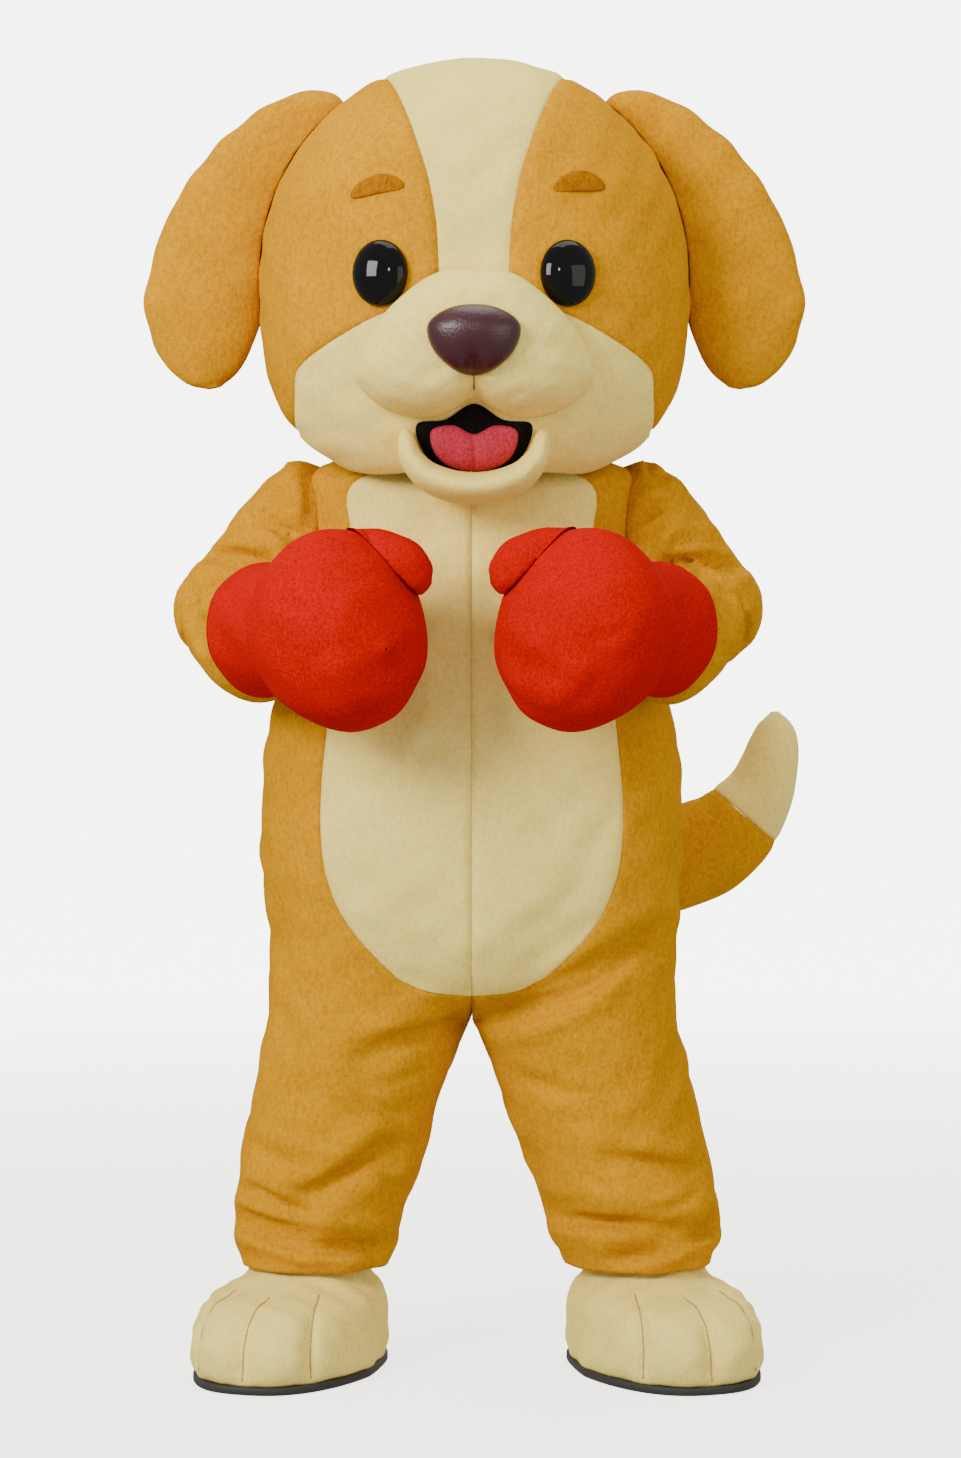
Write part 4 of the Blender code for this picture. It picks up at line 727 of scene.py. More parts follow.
def sleeve(side, step, turn):
    """Outside of a left sleeve past its first ring. turn: 0 at the top, then to the front and down."""
    step, turn = np.broadcast_arrays(np.asarray(step, float), np.asarray(turn, float))
    row = smooth(SLEEVE, step)
    heading = unit(row[..., 3:6])
    level = unit(np.cross(heading, np.array([0, 0, 1.0])))
    rising = np.cross(level, heading)
    points = row[..., 0:3] + rising * (row[..., 6] * np.cos(turn))[..., None]
    points = points + level * (row[..., 7] * np.sin(turn))[..., None]
    out = unit(points - row[..., 0:3])
    points = points - out * large_fold_depth(points, SLEEVE_FOLDS, side, out[..., 1] * 3.0)[..., None]
    t = ease((step - REACH_STEPS[0]) / (REACH_STEPS[1] - REACH_STEPS[0]))
    return clear_of_body(points + np.array(REACH[side]) * t[..., None], BODY_GAP)


def clear_of_body(points, gap):
    """Moves points that are inside the suit's body to just outside it."""
    half, front, back, _ = np.moveaxis(smooth(TORSO, points[..., 2]), -1, 0)
    x, y = points[..., 0] / half, points[..., 1] / np.where(points[..., 1] < 0, front, back)
    size = (np.abs(x) ** FULLNESS + np.abs(y) ** FULLNESS) ** (1 / FULLNESS)
    grow = np.maximum(1, (1 + gap / half) / np.maximum(size, 1e-6))
    return points * np.stack([grow, grow, np.ones(grow.shape)], axis=-1)


# %% [markdown]
# The tube starts at the armhole's own edge, so the sleeve and the panels share a seam. A few rows blend
# from that edge into the first step, with a slight puff where a sleeve head is eased in.

# %% Sleeves
SLEEVE_ROUND = 96  # points round a sleeve
SLEEVE_PUFF = 0.004  # how far the eased-in sleeve head swells
BLEND_SHARES = (0.0, 0.2, 0.4, 0.6, 0.8)  # shares of the way from the armhole to the sleeve's first step
turns = all_round(SLEEVE_ROUND)
middle, half_height, half_turn = ARMHOLE
ring_height, ring_turn = middle + half_height * np.cos(turns), 0.5 - half_turn * np.sin(turns)
ring = suit(LEFT, ring_height, ring_turn)
ring_out = suit_normals(LEFT, ring_height, ring_turn)
ring_inward = unit(ring.mean(axis=0) - ring)
under = (0.5 - 0.5 * np.cos(turns))[:, None]  # 0 at the top of the armhole, 1 underneath
for side, word in SIDES:
    start = ring + ring_inward * SEAM / 2
    first = sleeve(side, 1.0, turns)
    puff = unit(first - first.mean(axis=0)) * SLEEVE_PUFF
    blend = [start * (1 - s) + first * s + puff * math.sin(math.pi * s) for s in BLEND_SHARES]
    steps = np.linspace(1.0, 11.0, 68)[:, None]
    form = np.concatenate([np.stack(blend), sleeve(side, steps, turns[None])])
    normals = tube_normals(form)
    normals[0] = unit(ring_out * (1 - under) - ring_inward * under)
    outer = creased(form, normals, SLEEVE_CREASES, side, ("top",), wide=0.007, pull=CREASE_PULL)
    outer[1:] = clear_of_body(outer[1:], BODY_GAP - 0.001)
    flip = np.array([side, 1, 1])
    mesh_piece("cloth_sleeve_" + word, *shell(outer * flip, (outer - normals * CLOTH) * flip, True),
               "amber_plush", "sleeve_" + word)
print("sleeves", SLEEVE_ROUND, "points round")

# %% [markdown]
# The gloves are boxing gloves in red fleece: a quilted cuff, a mitt filled like a pillow, and a thumb
# that is sewn on as its own stuffed roll. The mitt is one tube that closes at its front, so a table of
# distances along the hand with half widths gives its whole shape.

# %% The gloves' form
GLOVE_RIM = np.array([0.289, -0.184, 1.054])
GLOVE_HEADING = unit([-0.571, -0.821, 0.0])
GLOVE_LEVEL = unit(np.cross(GLOVE_HEADING, [0, 0, 1.0]))
GLOVE = metres([  # mm: distance from the rim, half width, half height, drop of the middle
    (0, 93.5, 93.5, 0), (30, 92, 93, 0), (70, 92.5, 94, 0), (116, 97.5, 97, 0), (122, 100, 99, 0),
    (145, 114, 118, 1), (175, 120.5, 131.5, 1), (210, 121, 135, 6), (245, 109, 120, 17),
    (275, 84, 92, 26), (298, 48, 53, 31), (308, 0, 0, 33),
])
CUFF_END = 0.116  # distance from the rim to the seam between cuff and mitt
QUILT = 0.006  # fleece over a layer of foam
THUMB_GAP = 0.0024
THUMB = metres([  # mm: centre x, y, height, half width, half height
    (166, -308, 1182, 7, 4), (158, -313, 1178, 20, 10), (138, -324, 1164, 34, 28),
    (110, -336, 1142, 40, 41), (88, -343, 1128, 36, 39), (70, -347, 1114, 25, 28),
    (59, -349, 1105, 10, 11),
])
GLOVE_CREASES = metres([  # mm: side, view, half width, depth, then the line's x and height
    (0, -1, 3.5, 3.5, 122, 1158, 127, 1166, 129, 1178),
    (0, -1, 3.5, 3, 113, 1156, 116, 1164, 115, 1174),
    (0, -1, 4, 3, 131, 1157, 139, 1163, 148, 1172), (0, -1, 7, 3, 128, 1152, 150, 1148, 175, 1150),
    (0, -1, 11, 3, 60, 1040, 95, 1000, 150, 985),
    (RIGHT, -1, 8, 3, 255, 1085, 225, 1075, 205, 1080),
    (LEFT, -1, 8, 3, 235, 1050, 210, 1035, 185, 1040),
    (0, -1, 12, 2.5, 215, 1000, 185, 1020, 165, 1000),
], 2)


def glove(distance, turn):
    """Outside of the left glove. turn: 0 at the top."""
    distance, turn = np.broadcast_arrays(np.asarray(distance, float), np.asarray(turn, float))
    wide, high, drop = np.moveaxis(smooth(GLOVE, distance), -1, 0)
    points = GLOVE_RIM + distance[..., None] * GLOVE_HEADING
    points += (wide * np.sin(turn))[..., None] * GLOVE_LEVEL
    points[..., 2] += high * np.cos(turn) - drop
    return points


def out_of_glove(points, gap):
    """Moves points that are inside the mitt onto it."""
    from_rim = points - GLOVE_RIM
    distance = from_rim @ GLOVE_HEADING
    wide, high, drop = np.moveaxis(smooth(GLOVE, distance), -1, 0)
    aside, up = from_rim @ GLOVE_LEVEL, from_rim[..., 2] + drop
    inside = np.hypot(aside / (wide + gap), up / (high + gap))
    grow = np.where(inside < 1, 1 / np.maximum(inside, 1e-6), 1.0)
    moved = GLOVE_RIM + distance[..., None] * GLOVE_HEADING + (aside * grow)[..., None] * GLOVE_LEVEL
    moved[..., 2] += up * grow - drop
    return moved


def finer(rows, count):
    """A table of rows taken at more places along it."""
    rows = np.array(rows, float)
    places = np.arange(len(rows))
    return smooth(np.column_stack([places, rows]), np.linspace(0, len(rows) - 1, count))


def roll(rows, segments, up=(0, 0, 1.0)):
    """Grid of a stuffed roll along centres x, y, height with half width and half height."""
    centres = rows[:, :3]
    heading = unit(np.gradient(centres, axis=0))
    level = unit(np.cross(heading, np.array(up)))
    rising = np.cross(level, heading)
    turn = all_round(segments)
    wide, high = rows[:, 3][:, None, None], rows[:, -1][:, None, None]
    return (centres[:, None] + level[:, None] * wide * np.sin(turn)[None, :, None]
            + rising[:, None] * high * np.cos(turn)[None, :, None])


# %% [markdown]
# The cuff is drawn in at its seam with the mitt. The mitt and the thumb are padded, so their seams lie
# deep and their surface is a little lumpy.

# %% Gloves
GLOVE_ROUND = 108  # points round a glove
MITT_CLOSES, MITT_NOSE = 0.245, 0.0628  # where the mitt begins to close, and how far it goes on
turns = all_round(GLOVE_ROUND)[None]
for side, word in SIDES:
    flip, shift = np.array([side, 1, 1]), np.array(REACH[side])
    cuff_at = np.linspace(0, CUFF_END, 24)
    closing = MITT_CLOSES + MITT_NOSE * np.sin(np.linspace(0, math.pi / 2, 16))[1:]
    mitt_at = np.concatenate([np.linspace(CUFF_END + SEAM, MITT_CLOSES, 30), closing])
    for kind, distances, sewn in (("cuff", cuff_at, ("bottom",)), ("mitt", mitt_at, ("top",))):
        form = glove(distances[:, None], turns)
        normals = tube_normals(form, GLOVE_RIM + distances[:, None, None] * GLOVE_HEADING)
        outer = creased(form, normals, GLOVE_CREASES, side, sewn, dip=0.0048, wide=0.007, soft=0.0016)
        inner = form - normals * QUILT
        wall = shell((outer + shift) * flip, (inner + shift) * flip, True)
        mesh_piece("glove_" + kind + "_" + word, *wall, "red_fleece", kind + "_" + word)
    thumb = out_of_glove(roll(finer(THUMB, 36), 48), THUMB_GAP)
    normals = tube_normals(thumb)
    thumb = thumb - normals * (uneven(thumb, 0.05, 0.0012) + 0.0008)[..., None]
    mesh_piece("glove_thumb_" + word, *stuffed((out_of_glove(thumb, 0.0016) + shift) * flip), "red_fleece",
               "thumb_" + word)
print("gloves", [n for n in MADE if n.startswith("glove_")])

# %% [markdown]
# The shoes are foam paws covered in cream plush on a flat black sole. Three seams pull the toe cap into
# four toes. The form is swept round the foot: each row blends the sole's outline into the round ankle.

# %% Paw shoes
ANKLE = {LEFT: 0.2485, RIGHT: 0.2335}  # how far an ankle is from the middle
TOE_OUT = math.radians(18)
FOOT_AHEAD, FOOT_BEHIND, FOOT_HALF = 0.272, 0.110, 0.132
FOOT_ROUND, FOOT_SQUARE = 0.86, 0.80  # how round the outline is along and across
HEEL_NARROW = 0.26
ANKLE_RADIUS, SHOE_WALL, SOLE = 0.083, 0.006, 0.012
SHOE = [  # height, share of the way from the sole's outline to the ankle
    (0.0123, 0.02), (0.034, -0.03), (0.062, -0.02), (0.086, 0.06), (0.104, 0.2),
    (0.114, 0.42), (0.1215, 0.68), (0.134, 0.9), (0.152, 0.99), (0.19, 1.0),
]
TOE_SEAMS = (-0.62, 0.0, 0.62)  # turns of the toe seams from straight ahead
TOE_DEPTH, TOE_WIDTH = 0.017, 0.075


def sole_outline(turn):
    """Outline round the ankle; turn 0 is straight ahead."""
    ahead, aside = np.cos(turn), np.sin(turn)
    along = np.where(ahead > 0, FOOT_AHEAD, FOOT_BEHIND) * power(ahead, FOOT_ROUND)
    narrow = 1 - HEEL_NARROW * np.clip((0.10 - along) / 0.20, 0, 1)
    return along, FOOT_HALF * power(aside, FOOT_SQUARE) * narrow


def toe_groove(turn):
    """1 at a toe seam, 0 between the toes."""
    off = [np.angle(np.exp(1j * (turn - at))) / TOE_WIDTH for at in TOE_SEAMS]
    return np.max([np.exp(-np.abs(o) ** 1.3) for o in off], axis=0)


def place_foot(points, side):
    """Foot's own frame (ahead, aside, up) into the costume's."""
    ahead = np.array([math.sin(TOE_OUT), -math.cos(TOE_OUT)])
    aside = np.array([math.cos(TOE_OUT), math.sin(TOE_OUT)])
    flat = points[..., 0:1] * ahead + points[..., 1:2] * aside
    placed = np.concatenate([flat, points[..., 2:3]], axis=-1)
    placed[..., 0] = side * (placed[..., 0] + ANKLE[side])
    return placed


around = np.concatenate([np.linspace(-1.3, 1.3, 121), np.linspace(1.3, 2 * math.pi - 1.3, 70)[1:-1]])
along, aside = sole_outline(around)
shoe_rows = finer(SHOE, 56)
groove = toe_groove(around)[None] * np.clip((shoe_rows[:, 0:1] - 0.012) / 0.02, 0, 1)
groove = 1 - groove * TOE_DEPTH / FOOT_AHEAD
share = shoe_rows[:, 1:2]
form = np.stack([along * groove * (1 - share) + ANKLE_RADIUS * np.cos(around) * share,
                 aside * groove * (1 - share) + ANKLE_RADIUS * np.sin(around) * share,
                 shoe_rows[:, 0:1] + 0 * groove], axis=-1)
normals = tube_normals(form)
dips = edge_dip(form, ("top",), deep=0.003, wide=0.006)
form = form - normals * (dips + uneven(form, size=0.07, height=0.0018))[..., None]
form[..., 2] = np.maximum(form[..., 2], SHOE[0][0])
SHOE_FORM, SHOE_NORMALS = form, normals
inner = form - normals * SHOE_WALL
inner[0, :, 2], inner[-1, :, 2] = form[0, :, 2], form[-1, :, 2]
PLATE = ((0.965, 0.0), (0.99, 0.001), (1.0, 0.0035), (1.0, SOLE - 0.002), (0.995, SOLE))  # share, height
plate = np.stack([np.stack([along * s, aside * s, np.full(len(around), z)], axis=-1) for s, z in PLATE])
for side, word in SIDES:
    mesh_piece("shoe_upper_" + word, *shell(place_foot(form, side), place_foot(inner, side), True),
               "cream_plush", "shoe_" + word)
    mesh_piece("shoe_sole_" + word, *stuffed(place_foot(plate, side)), "black_sole", "sole_" + word)
print("shoes", len(around), "points round")

# %% [markdown]
# The tail is a stuffed roll in two colours that swings to the dog's left and up. Its first ring lies on
# the seat of the suit, where it is sewn on.

# %% Tail
TAIL = metres([  # mm: centre x, y, height, radius; the last rows are the pale tip
    (30, 205, 705, 78), (52, 250, 701, 80), (95, 300, 699, 80), (165, 340, 699, 81),
    (245, 356, 702, 81), (320, 360, 712, 80), (385, 360, 742, 75), (425, 360, 782, 64),
    (450, 357, 818, 54), (465, 353, 858, 46), (472, 348, 895, 38), (473, 345, 925, 26),
    (472, 344, 944, 6),
])
TAIL_JOIN = 7  # row where the two colours meet
TAIL_LIFT = 0.0012  # how far the sewn-on end stands off the seat
TAIL_PINCH = 0.0022  # how deep the seam between the two colours lies


def back_at(x, height):
    """Depth of the suit's back at places across and up."""
    side = np.where(x >= 0, LEFT, RIGHT)
    result = np.zeros(x.shape)
    for s in (LEFT, RIGHT):
        turn = farthest(np.full(x.shape, 0.5), np.full(x.shape, 1.0),
                        lambda u: np.abs(suit(s, height, u)[..., 0]) > np.abs(x))
        result = np.where(side == s, suit(s, height, turn)[..., 1], result)
    return result


per_row = 8
form = roll(finer([row + (row[3],) for row in TAIL], (len(TAIL) - 1) * per_row + 1), 56)
for k in range(per_row):
    lie = back_at(form[k, :, 0], form[k, :, 2]) + TAIL_LIFT
    form[k, :, 1] = lie if k == 0 else np.maximum(form[k, :, 1], lie)
cap = form[0].mean(axis=0)
discs = []
for s in (0.02, 0.5):
    disc = cap + (form[0] - cap) * s
    disc[:, 1] = back_at(disc[:, 0], disc[:, 2]) + TAIL_LIFT
    discs.append(disc)
normals = tube_normals(form)
seam_at = TAIL_JOIN * per_row
pinch = TAIL_PINCH * np.exp(-((np.arange(len(form)) - seam_at) / 1.2) ** 2)
form[3:] = (form - normals * (pinch[:, None] + uneven(form, size=0.13, height=0.0018))[..., None])[3:]
base = np.concatenate([np.stack(discs), form[:seam_at + 1]])
tip = form[seam_at:].copy()
tip[0] += unit(tip[1].mean(axis=0) - tip[0].mean(axis=0)) * SEAM
mesh_piece("tail_roll", *stuffed(base), "amber_plush", "tail_base")
mesh_piece("tail_point", *stuffed(tip), "cream_plush", "tail_tip")
print("tail rows", len(form))

# %% [markdown]
# The head is a foam ball, wider than high, covered in plush. Its section is a rounded box that turns
# round the line between the ears, so a table of angles gives its profile: brow, crown, nape, neck hole
# and jaw. The blaze and the cheeks are cream panels between two amber sides, and their edges are tables
# of half widths.

# %% The head's form
HEAD_CENTRE = np.array([0.0036, 0.0, 1.569])
HEAD_HALF = 0.310
HEAD_FOAM = 0.010
HEAD_RINGS = [  # degrees up from the front, radius, squareness
    (0, 0.285, 2.5), (45, 0.304, 2.2), (90, 0.317, 2.05), (135, 0.302, 2.2),
    (180, 0.285, 2.4), (210, 0.284, 2.5), (234, 0.298, 2.6), (255, 0.284, 2.8), (270, 0.276, 2.8),
    (285, 0.305, 2.8), (300, 0.357, 2.8), (315, 0.350, 2.8), (330, 0.321, 2.7), (345, 0.298, 2.6),
]
BLAZE = metres([  # degrees, half width in mm
    (-6.7, 47.5), (10, 53), (22, 64), (35, 82), (50, 102), (65, 119), (80, 131), (95, 134),
    (110, 128), (130, 105), (150, 60), (165, 0),
], 1)
CHEEK = metres([  # degrees, half width in mm
    (-90, 165), (-86, 200), (-81, 228), (-75, 244), (-62, 254), (-47, 253.5), (-37, 247),
    (-29, 216), (-23, 179), (-18, 137), (-14, 90), (-6.7, 47.5),
], 1)
BLAZE_LOW, BLAZE_END, NAPE = -6.7, 165.0, 234.0  # angles where the panels' edges change
NECK_HOLE_HALF, NECK_HOLE_TURN = 0.165, 36.0


def head_ring(degrees):
    rows = [(d + 360 * k, r, n) for k in (-1, 0, 1) for d, r, n in HEAD_RINGS]
    return np.moveaxis(smooth(rows, degrees), -1, 0)


def head(degrees, x):
    """Outside of the head at an angle up from the front and a place across."""
    radius, n = head_ring(degrees)
    reach = radius * np.maximum(1 - np.abs(x / HEAD_HALF) ** n, 0) ** (1 / n)
    phi = np.radians(degrees)
    return np.stack([x + 0 * reach, -reach * np.cos(phi), reach * np.sin(phi)], axis=-1)


def head_size(points):
    """1 on the head's outside, less inside it; points in the head's own frame."""
    x, y, z = np.moveaxis(np.asarray(points, float), -1, 0)
    radius, n = head_ring(np.degrees(np.arctan2(z, -y)))
    return (np.abs(x / HEAD_HALF) ** n + (np.hypot(y, z) / radius) ** n) ** (1 / n)


def head_normals(points):
    slope = [head_size(points + s) - head_size(points - s) for s in np.eye(3) * TINY]
    return unit(np.stack(slope, axis=-1))


def onto_head(points, gap):
    """Moves points that are inside the head onto it, with a gap."""
    size = head_size(points)[..., None]
    least = 1 + gap / np.maximum(np.linalg.norm(points, axis=-1, keepdims=True), 0.05)
    return np.where(size < least, points * least / np.maximum(size, 1e-6), points)


def face_at(x, height):
    """Front of the head at a place across and a height above the floor: its own frame."""
    x, z = np.broadcast_arrays(np.asarray(x, float), np.asarray(height, float) - HEAD_CENTRE[2])
    front = farthest(np.full(x.shape, -0.5), np.full(x.shape, 0.0),
                     lambda y: head_size(np.stack([x, y, z], axis=-1)) > 1)
    return np.stack([x, front, z], axis=-1)


# %% [markdown]
# Each head panel is a grid on that form with its sewn edges drawn in. The side panel has a pole under
# the ear, where the cloth is smooth: its rows run round the ear line and its columns from the seam to
# the pole.

# %% Head panels
HEAD_DIP, HEAD_DIP_WIDE = 0.0030, 0.007  # how deep and wide the seams lie in the pile


def head_panel(name, slot, points, sewn, node, side=0):
    """A foam and plush shell on the head's form; a side's panel is closed round and keeps to its side."""
    normals = head_normals(points)
    dips = edge_dip(points, sewn, HEAD_DIP, HEAD_DIP_WIDE)
    keep = 1 - dips / HEAD_DIP
    outer = points - normals * (dips + uneven(points, 0.10, 0.0016) * keep)[..., None]
    inner = outer - normals * HEAD_FOAM
    if side:
        for layer in (outer, inner):
            layer[..., 0] = side * np.maximum(side * layer[..., 0], SEAM / 2)
    mesh_piece(name, *shell(outer + HEAD_CENTRE, inner + HEAD_CENTRE, side != 0), slot, node)


across = np.linspace(-1, 1, 50)[None]
degrees = np.linspace(BLAZE_LOW, BLAZE_END, 150)[:, None]
head_panel("head_blaze", "cream_plush", head(degrees, smooth(BLAZE, degrees[:, 0]) * across),
           ("first", "last", "top"), "blaze")
across = np.linspace(-1, 1, 81)[None]
ends = -90 + NECK_HOLE_TURN * np.sqrt(1 - across**2)
degrees = BLAZE_LOW + (ends - BLAZE_LOW) * np.linspace(0, 1, 70)[:, None]
head_panel("head_face", "cream_plush", head(degrees, smooth(CHEEK, degrees)[..., 0] * across),
           ("first", "last", "top"), "face")

line = [(d, float(smooth(BLAZE, d)[0])) for d in np.linspace(BLAZE_LOW, BLAZE_END, 80)]
line += [(d, 0.0) for d in np.linspace(BLAZE_END, NAPE, 24)[1:]]
line += [(NAPE + NECK_HOLE_TURN * (1 - math.cos(t)), NECK_HOLE_HALF * math.sin(t))
         for t in np.linspace(0, math.pi / 2, 22)[1:]]
line += [(d + 360, float(smooth(CHEEK, d)[0])) for d in np.linspace(-90, BLAZE_LOW, 70)[1:-1]]
degrees, edge = np.array(line).T
radius, squareness = head_ring(degrees)
first = np.arccos(np.clip((edge / HEAD_HALF) ** (squareness / 2), 0, 1))
rounds = first[None] * (1 - np.linspace(0, 1, 46)[:, None] ** 0.9)
for side, word in SIDES:
    reach = radius[None] * np.sin(rounds) ** (2 / squareness[None])
    phi = np.radians(degrees)[None]
    points = np.stack([side * HEAD_HALF * np.cos(rounds) ** (2 / squareness[None]), -reach * np.cos(phi),
                       reach * np.sin(phi)], axis=-1)
    head_panel("head_side_" + word, "amber_plush", points, ("top",), "head_" + word, side)
print("head panels", [n for n in MADE if n.startswith("head_")])

# %% [markdown]
# The parts of the face are pads: each has an outline on the head's front and rises from it. A muzzle pad
# is sewn from two lobes over foam, and the line under the nose is pulled in.

# %% Pads on the face
MUZZLE = metres([  # mm: x and height of the outline, the head's left half
    (0, 1542), (52, 1536), (100, 1504), (142, 1458), (162, 1408), (156, 1385), (128, 1359),
    (88, 1344.5), (50, 1345), (22, 1357), (0, 1370),
])
MUZZLE_MIDDLE = (0.0, 1.4300)
MUZZLE_OUT, MUZZLE_GAP = 0.092, 0.0009
MOUTH = metres([
    (0, 1362), (40, 1341), (78, 1336), (73, 1306), (50, 1283.5), (0, 1276.5),
])
MOUTH_MIDDLE = (0.0, 1.312)
TONGUE = metres([
    (0, 1324), (28, 1335), (58, 1329), (56, 1304), (37, 1286), (0, 1278.5),
])
TONGUE_MIDDLE = (0.0, 1.302)
NOSE = metres([
    (0, 1483), (36, 1477), (62, 1456), (54, 1422), (26, 1396), (0, 1390.5),
])
NOSE_MIDDLE = (0.0, 1.4420)
EYE_AT, EYE_HALF = (0.1275, 1.5390), (0.0375, 0.0460)
RING_SPREAD = 0.6  # below 1 a pad's rings lie closer together towards its edge
BROWS = {LEFT: (0.144, 1.665, 0.036, 0.015, -0.10), RIGHT: (0.133, 1.660, 0.037, 0.014, 0.14)}
CHIN = metres([  # mm: x, y, height, half width and half depth of the roll
    (94, -260, 1327, 5, 6), (93.5, -258, 1316, 11, 18), (87, -251, 1290, 16, 36),
    (66, -242, 1266, 20, 50), (34, -236, 1252, 22, 58), (0, -233, 1248, 22, 60),
])


def outline(rows, count):
    """Closed outline from its left half: points across and heights, evenly round."""
    half = np.array(rows, float)
    whole = np.concatenate([half, (half * [-1, 1])[-2:0:-1]])
    closed = np.concatenate([whole, whole[:1]])
    wrapped = np.concatenate([closed[-4:-1], closed, closed[1:4]])
    table = np.column_stack([np.arange(-3, len(whole) + 4), wrapped])
    return smooth(table, np.linspace(0, len(whole), count, endpoint=False))


def pad_grid(front, middle, edge, rings, rise, gap, ahead):
    """Grid of a pad on a form, from its front's middle to its edge and back behind."""
    back_rings, front_rings = [], []
    for r in rings:
        flat = np.array(middle) + (edge - np.array(middle)) * r
        base = front(flat[:, 0], flat[:, 1])
        out = np.array([[0, -1.0, 0]]) if ahead else head_normals(base)
        back_rings.append(base + out * gap)
        front_rings.append(base + out * (gap + np.reshape(rise(r, flat), (-1, 1))))
    return np.stack(front_rings[::-1] + back_rings[::3])


def dome(top, edge_share):
    """A round rise that ends at a share of its height at the edge."""
    return lambda r, flat: top * (edge_share + (1 - edge_share) * math.sqrt(max(0.0, 1 - r**2)))


PHILTRUM = (0.0, 1.410, 0.0, 1.364)  # the line under the nose: x and height of its two ends
GROOVE_DEEP, GROOVE_WIDE = 0.016, 0.013  # between the muzzle's lobes
PULL_DEEP, PULL_WIDE = 0.006, 0.0028  # where the thread of that line draws the foam in


def muzzle_rise(r, flat):
    """Two soft lobes with a groove between them under the nose."""
    low = np.clip((MUZZLE_MIDDLE[1] - flat[:, 1]) / 0.05, 0, 1)
    body = MUZZLE_OUT * (0.10 + 0.90 * np.sqrt(np.maximum(0.0, 1 - r ** (2.4 + 1.4 * low))))
    groove = GROOVE_DEEP * np.exp(-((flat[:, 0] / GROOVE_WIDE) ** 2)) * low * min(1.0, 1.2 - r)
    off = from_line(flat[:, 0], flat[:, 1], *PHILTRUM)[1]
    seam = PULL_DEEP * np.exp(-((off / PULL_WIDE) ** 1.5))
    return body - groove - seam * min(1.0, 1.15 - r)


def muzzle_front(x, height):
    """Outside of the muzzle's front, for the nose."""
    base = face_at(x, height)
    edge = outline(MUZZLE, 240)
    angle = np.arctan2(edge[:, 1] - MUZZLE_MIDDLE[1], edge[:, 0])
    far = np.hypot(edge[:, 1] - MUZZLE_MIDDLE[1], edge[:, 0])
    order = np.argsort(angle)
    towards = np.arctan2(height - MUZZLE_MIDDLE[1], x)
    reach = np.interp(towards, angle[order], far[order], period=2 * math.pi)
    r = np.clip(np.hypot(height - MUZZLE_MIDDLE[1], x) / reach, 0, 1)
    rise = [float(muzzle_rise(a, np.array([[b, c]]))[0]) for a, b, c in zip(r, x, height)]
    base[:, 1] -= np.array(rise) + MUZZLE_GAP
    return base


def add_pad(name, slot, node, front, middle, edge, rise, gap, rings, ahead=False, lumps=0.0):
    grid = pad_grid(front, middle, edge, rings, rise, gap, ahead)
    if lumps:
        half = len(rings) - 1
        grid[:half, :, 1] += uneven(grid[:half], 0.06, lumps) + lumps
    mesh_piece(name, *stuffed(grid + HEAD_CENTRE), slot, node)


def rings_to(count):
    """Shares from the edge to the middle, close together at the edge."""
    return [1 - (k / count) ** (1 / RING_SPREAD) for k in range(count)] + [0.012]


# %% Muzzle, nose, mouth and tongue
add_pad("face_muzzle", "cream_plush", "muzzle", face_at, MUZZLE_MIDDLE, outline(MUZZLE, 168), muzzle_rise,
        MUZZLE_GAP, rings_to(48), True, 0.0014)
add_pad("face_nose", "plum_nose", "nose", muzzle_front, NOSE_MIDDLE, outline(NOSE, 96), dome(0.032, 0.15),
        0.0020, rings_to(20), True)
add_pad("face_mouth", "black_lining", "mouth", face_at, MOUTH_MIDDLE, outline(MOUTH, 80),
        lambda r, flat: 0.003, 0.0008, [1, 0.75, 0.5, 0.25, 0.02])


def tongue_rise(r, flat):
    """A soft tongue with a line down its middle."""
    line = 0.004 * np.exp(-((flat[:, 0] / 0.004) ** 2)) * (1 - r**4)
    return dome(0.013, 0.12)(r, flat) - line


add_pad("face_tongue", "pink_tongue", "tongue", face_at, TONGUE_MIDDLE, outline(TONGUE, 80), tongue_rise,
        0.0048, rings_to(14))
print("face parts", [n for n in MADE if n.startswith("face_")])

# %% [markdown]
# The eyes are glossy black domes, in which the studio lights show as small bright windows. The brows are
# small plush patches, set at different slants, which gives the dog its friendly look.

# %% Eyes and brows
turn = all_round(72)
for side, word in SIDES:
    middle = np.array([side * EYE_AT[0], EYE_AT[1]])
    ring = middle + np.stack([EYE_HALF[0] * np.sin(turn), EYE_HALF[1] * np.cos(turn)], axis=-1)
    add_pad("eye_dome_" + word, "black_eye", "eye_" + word, face_at, middle, ring, dome(0.022, 0.1), 0.0008,
            rings_to(16))
    x, height, half, tall, tilt = BROWS[side]
    bow = np.stack([half * np.sin(turn), tall * np.cos(turn) + 0.30 * tall * np.cos(2 * turn)], axis=-1)
    bow[:, 1] -= tilt * side * bow[:, 0]
    add_pad("brow_patch_" + word, "brow_plush", "brow_" + word, face_at, (side * x, height),
            bow + [side * x, height], dome(0.004, 0.3), 0.0008, rings_to(8))


# %% [markdown]
# The lower lip is a stuffed roll bent to a U. The ears are padded flaps sewn to the crown that hang
# beside the head, thick in the middle and thin at their edge, with a seam round the edge.

# %% Chin and ears
whole = [(-row[0],) + row[1:] for row in CHIN] + CHIN[-2::-1]
form = onto_head(roll(finer(whole, 81), 48, up=(0, -1.0, 0)) - np.array([0, 0, HEAD_CENTRE[2]]), 0.0016)
mesh_piece("face_chin", *stuffed(form + HEAD_CENTRE), "cream_plush", "chin")

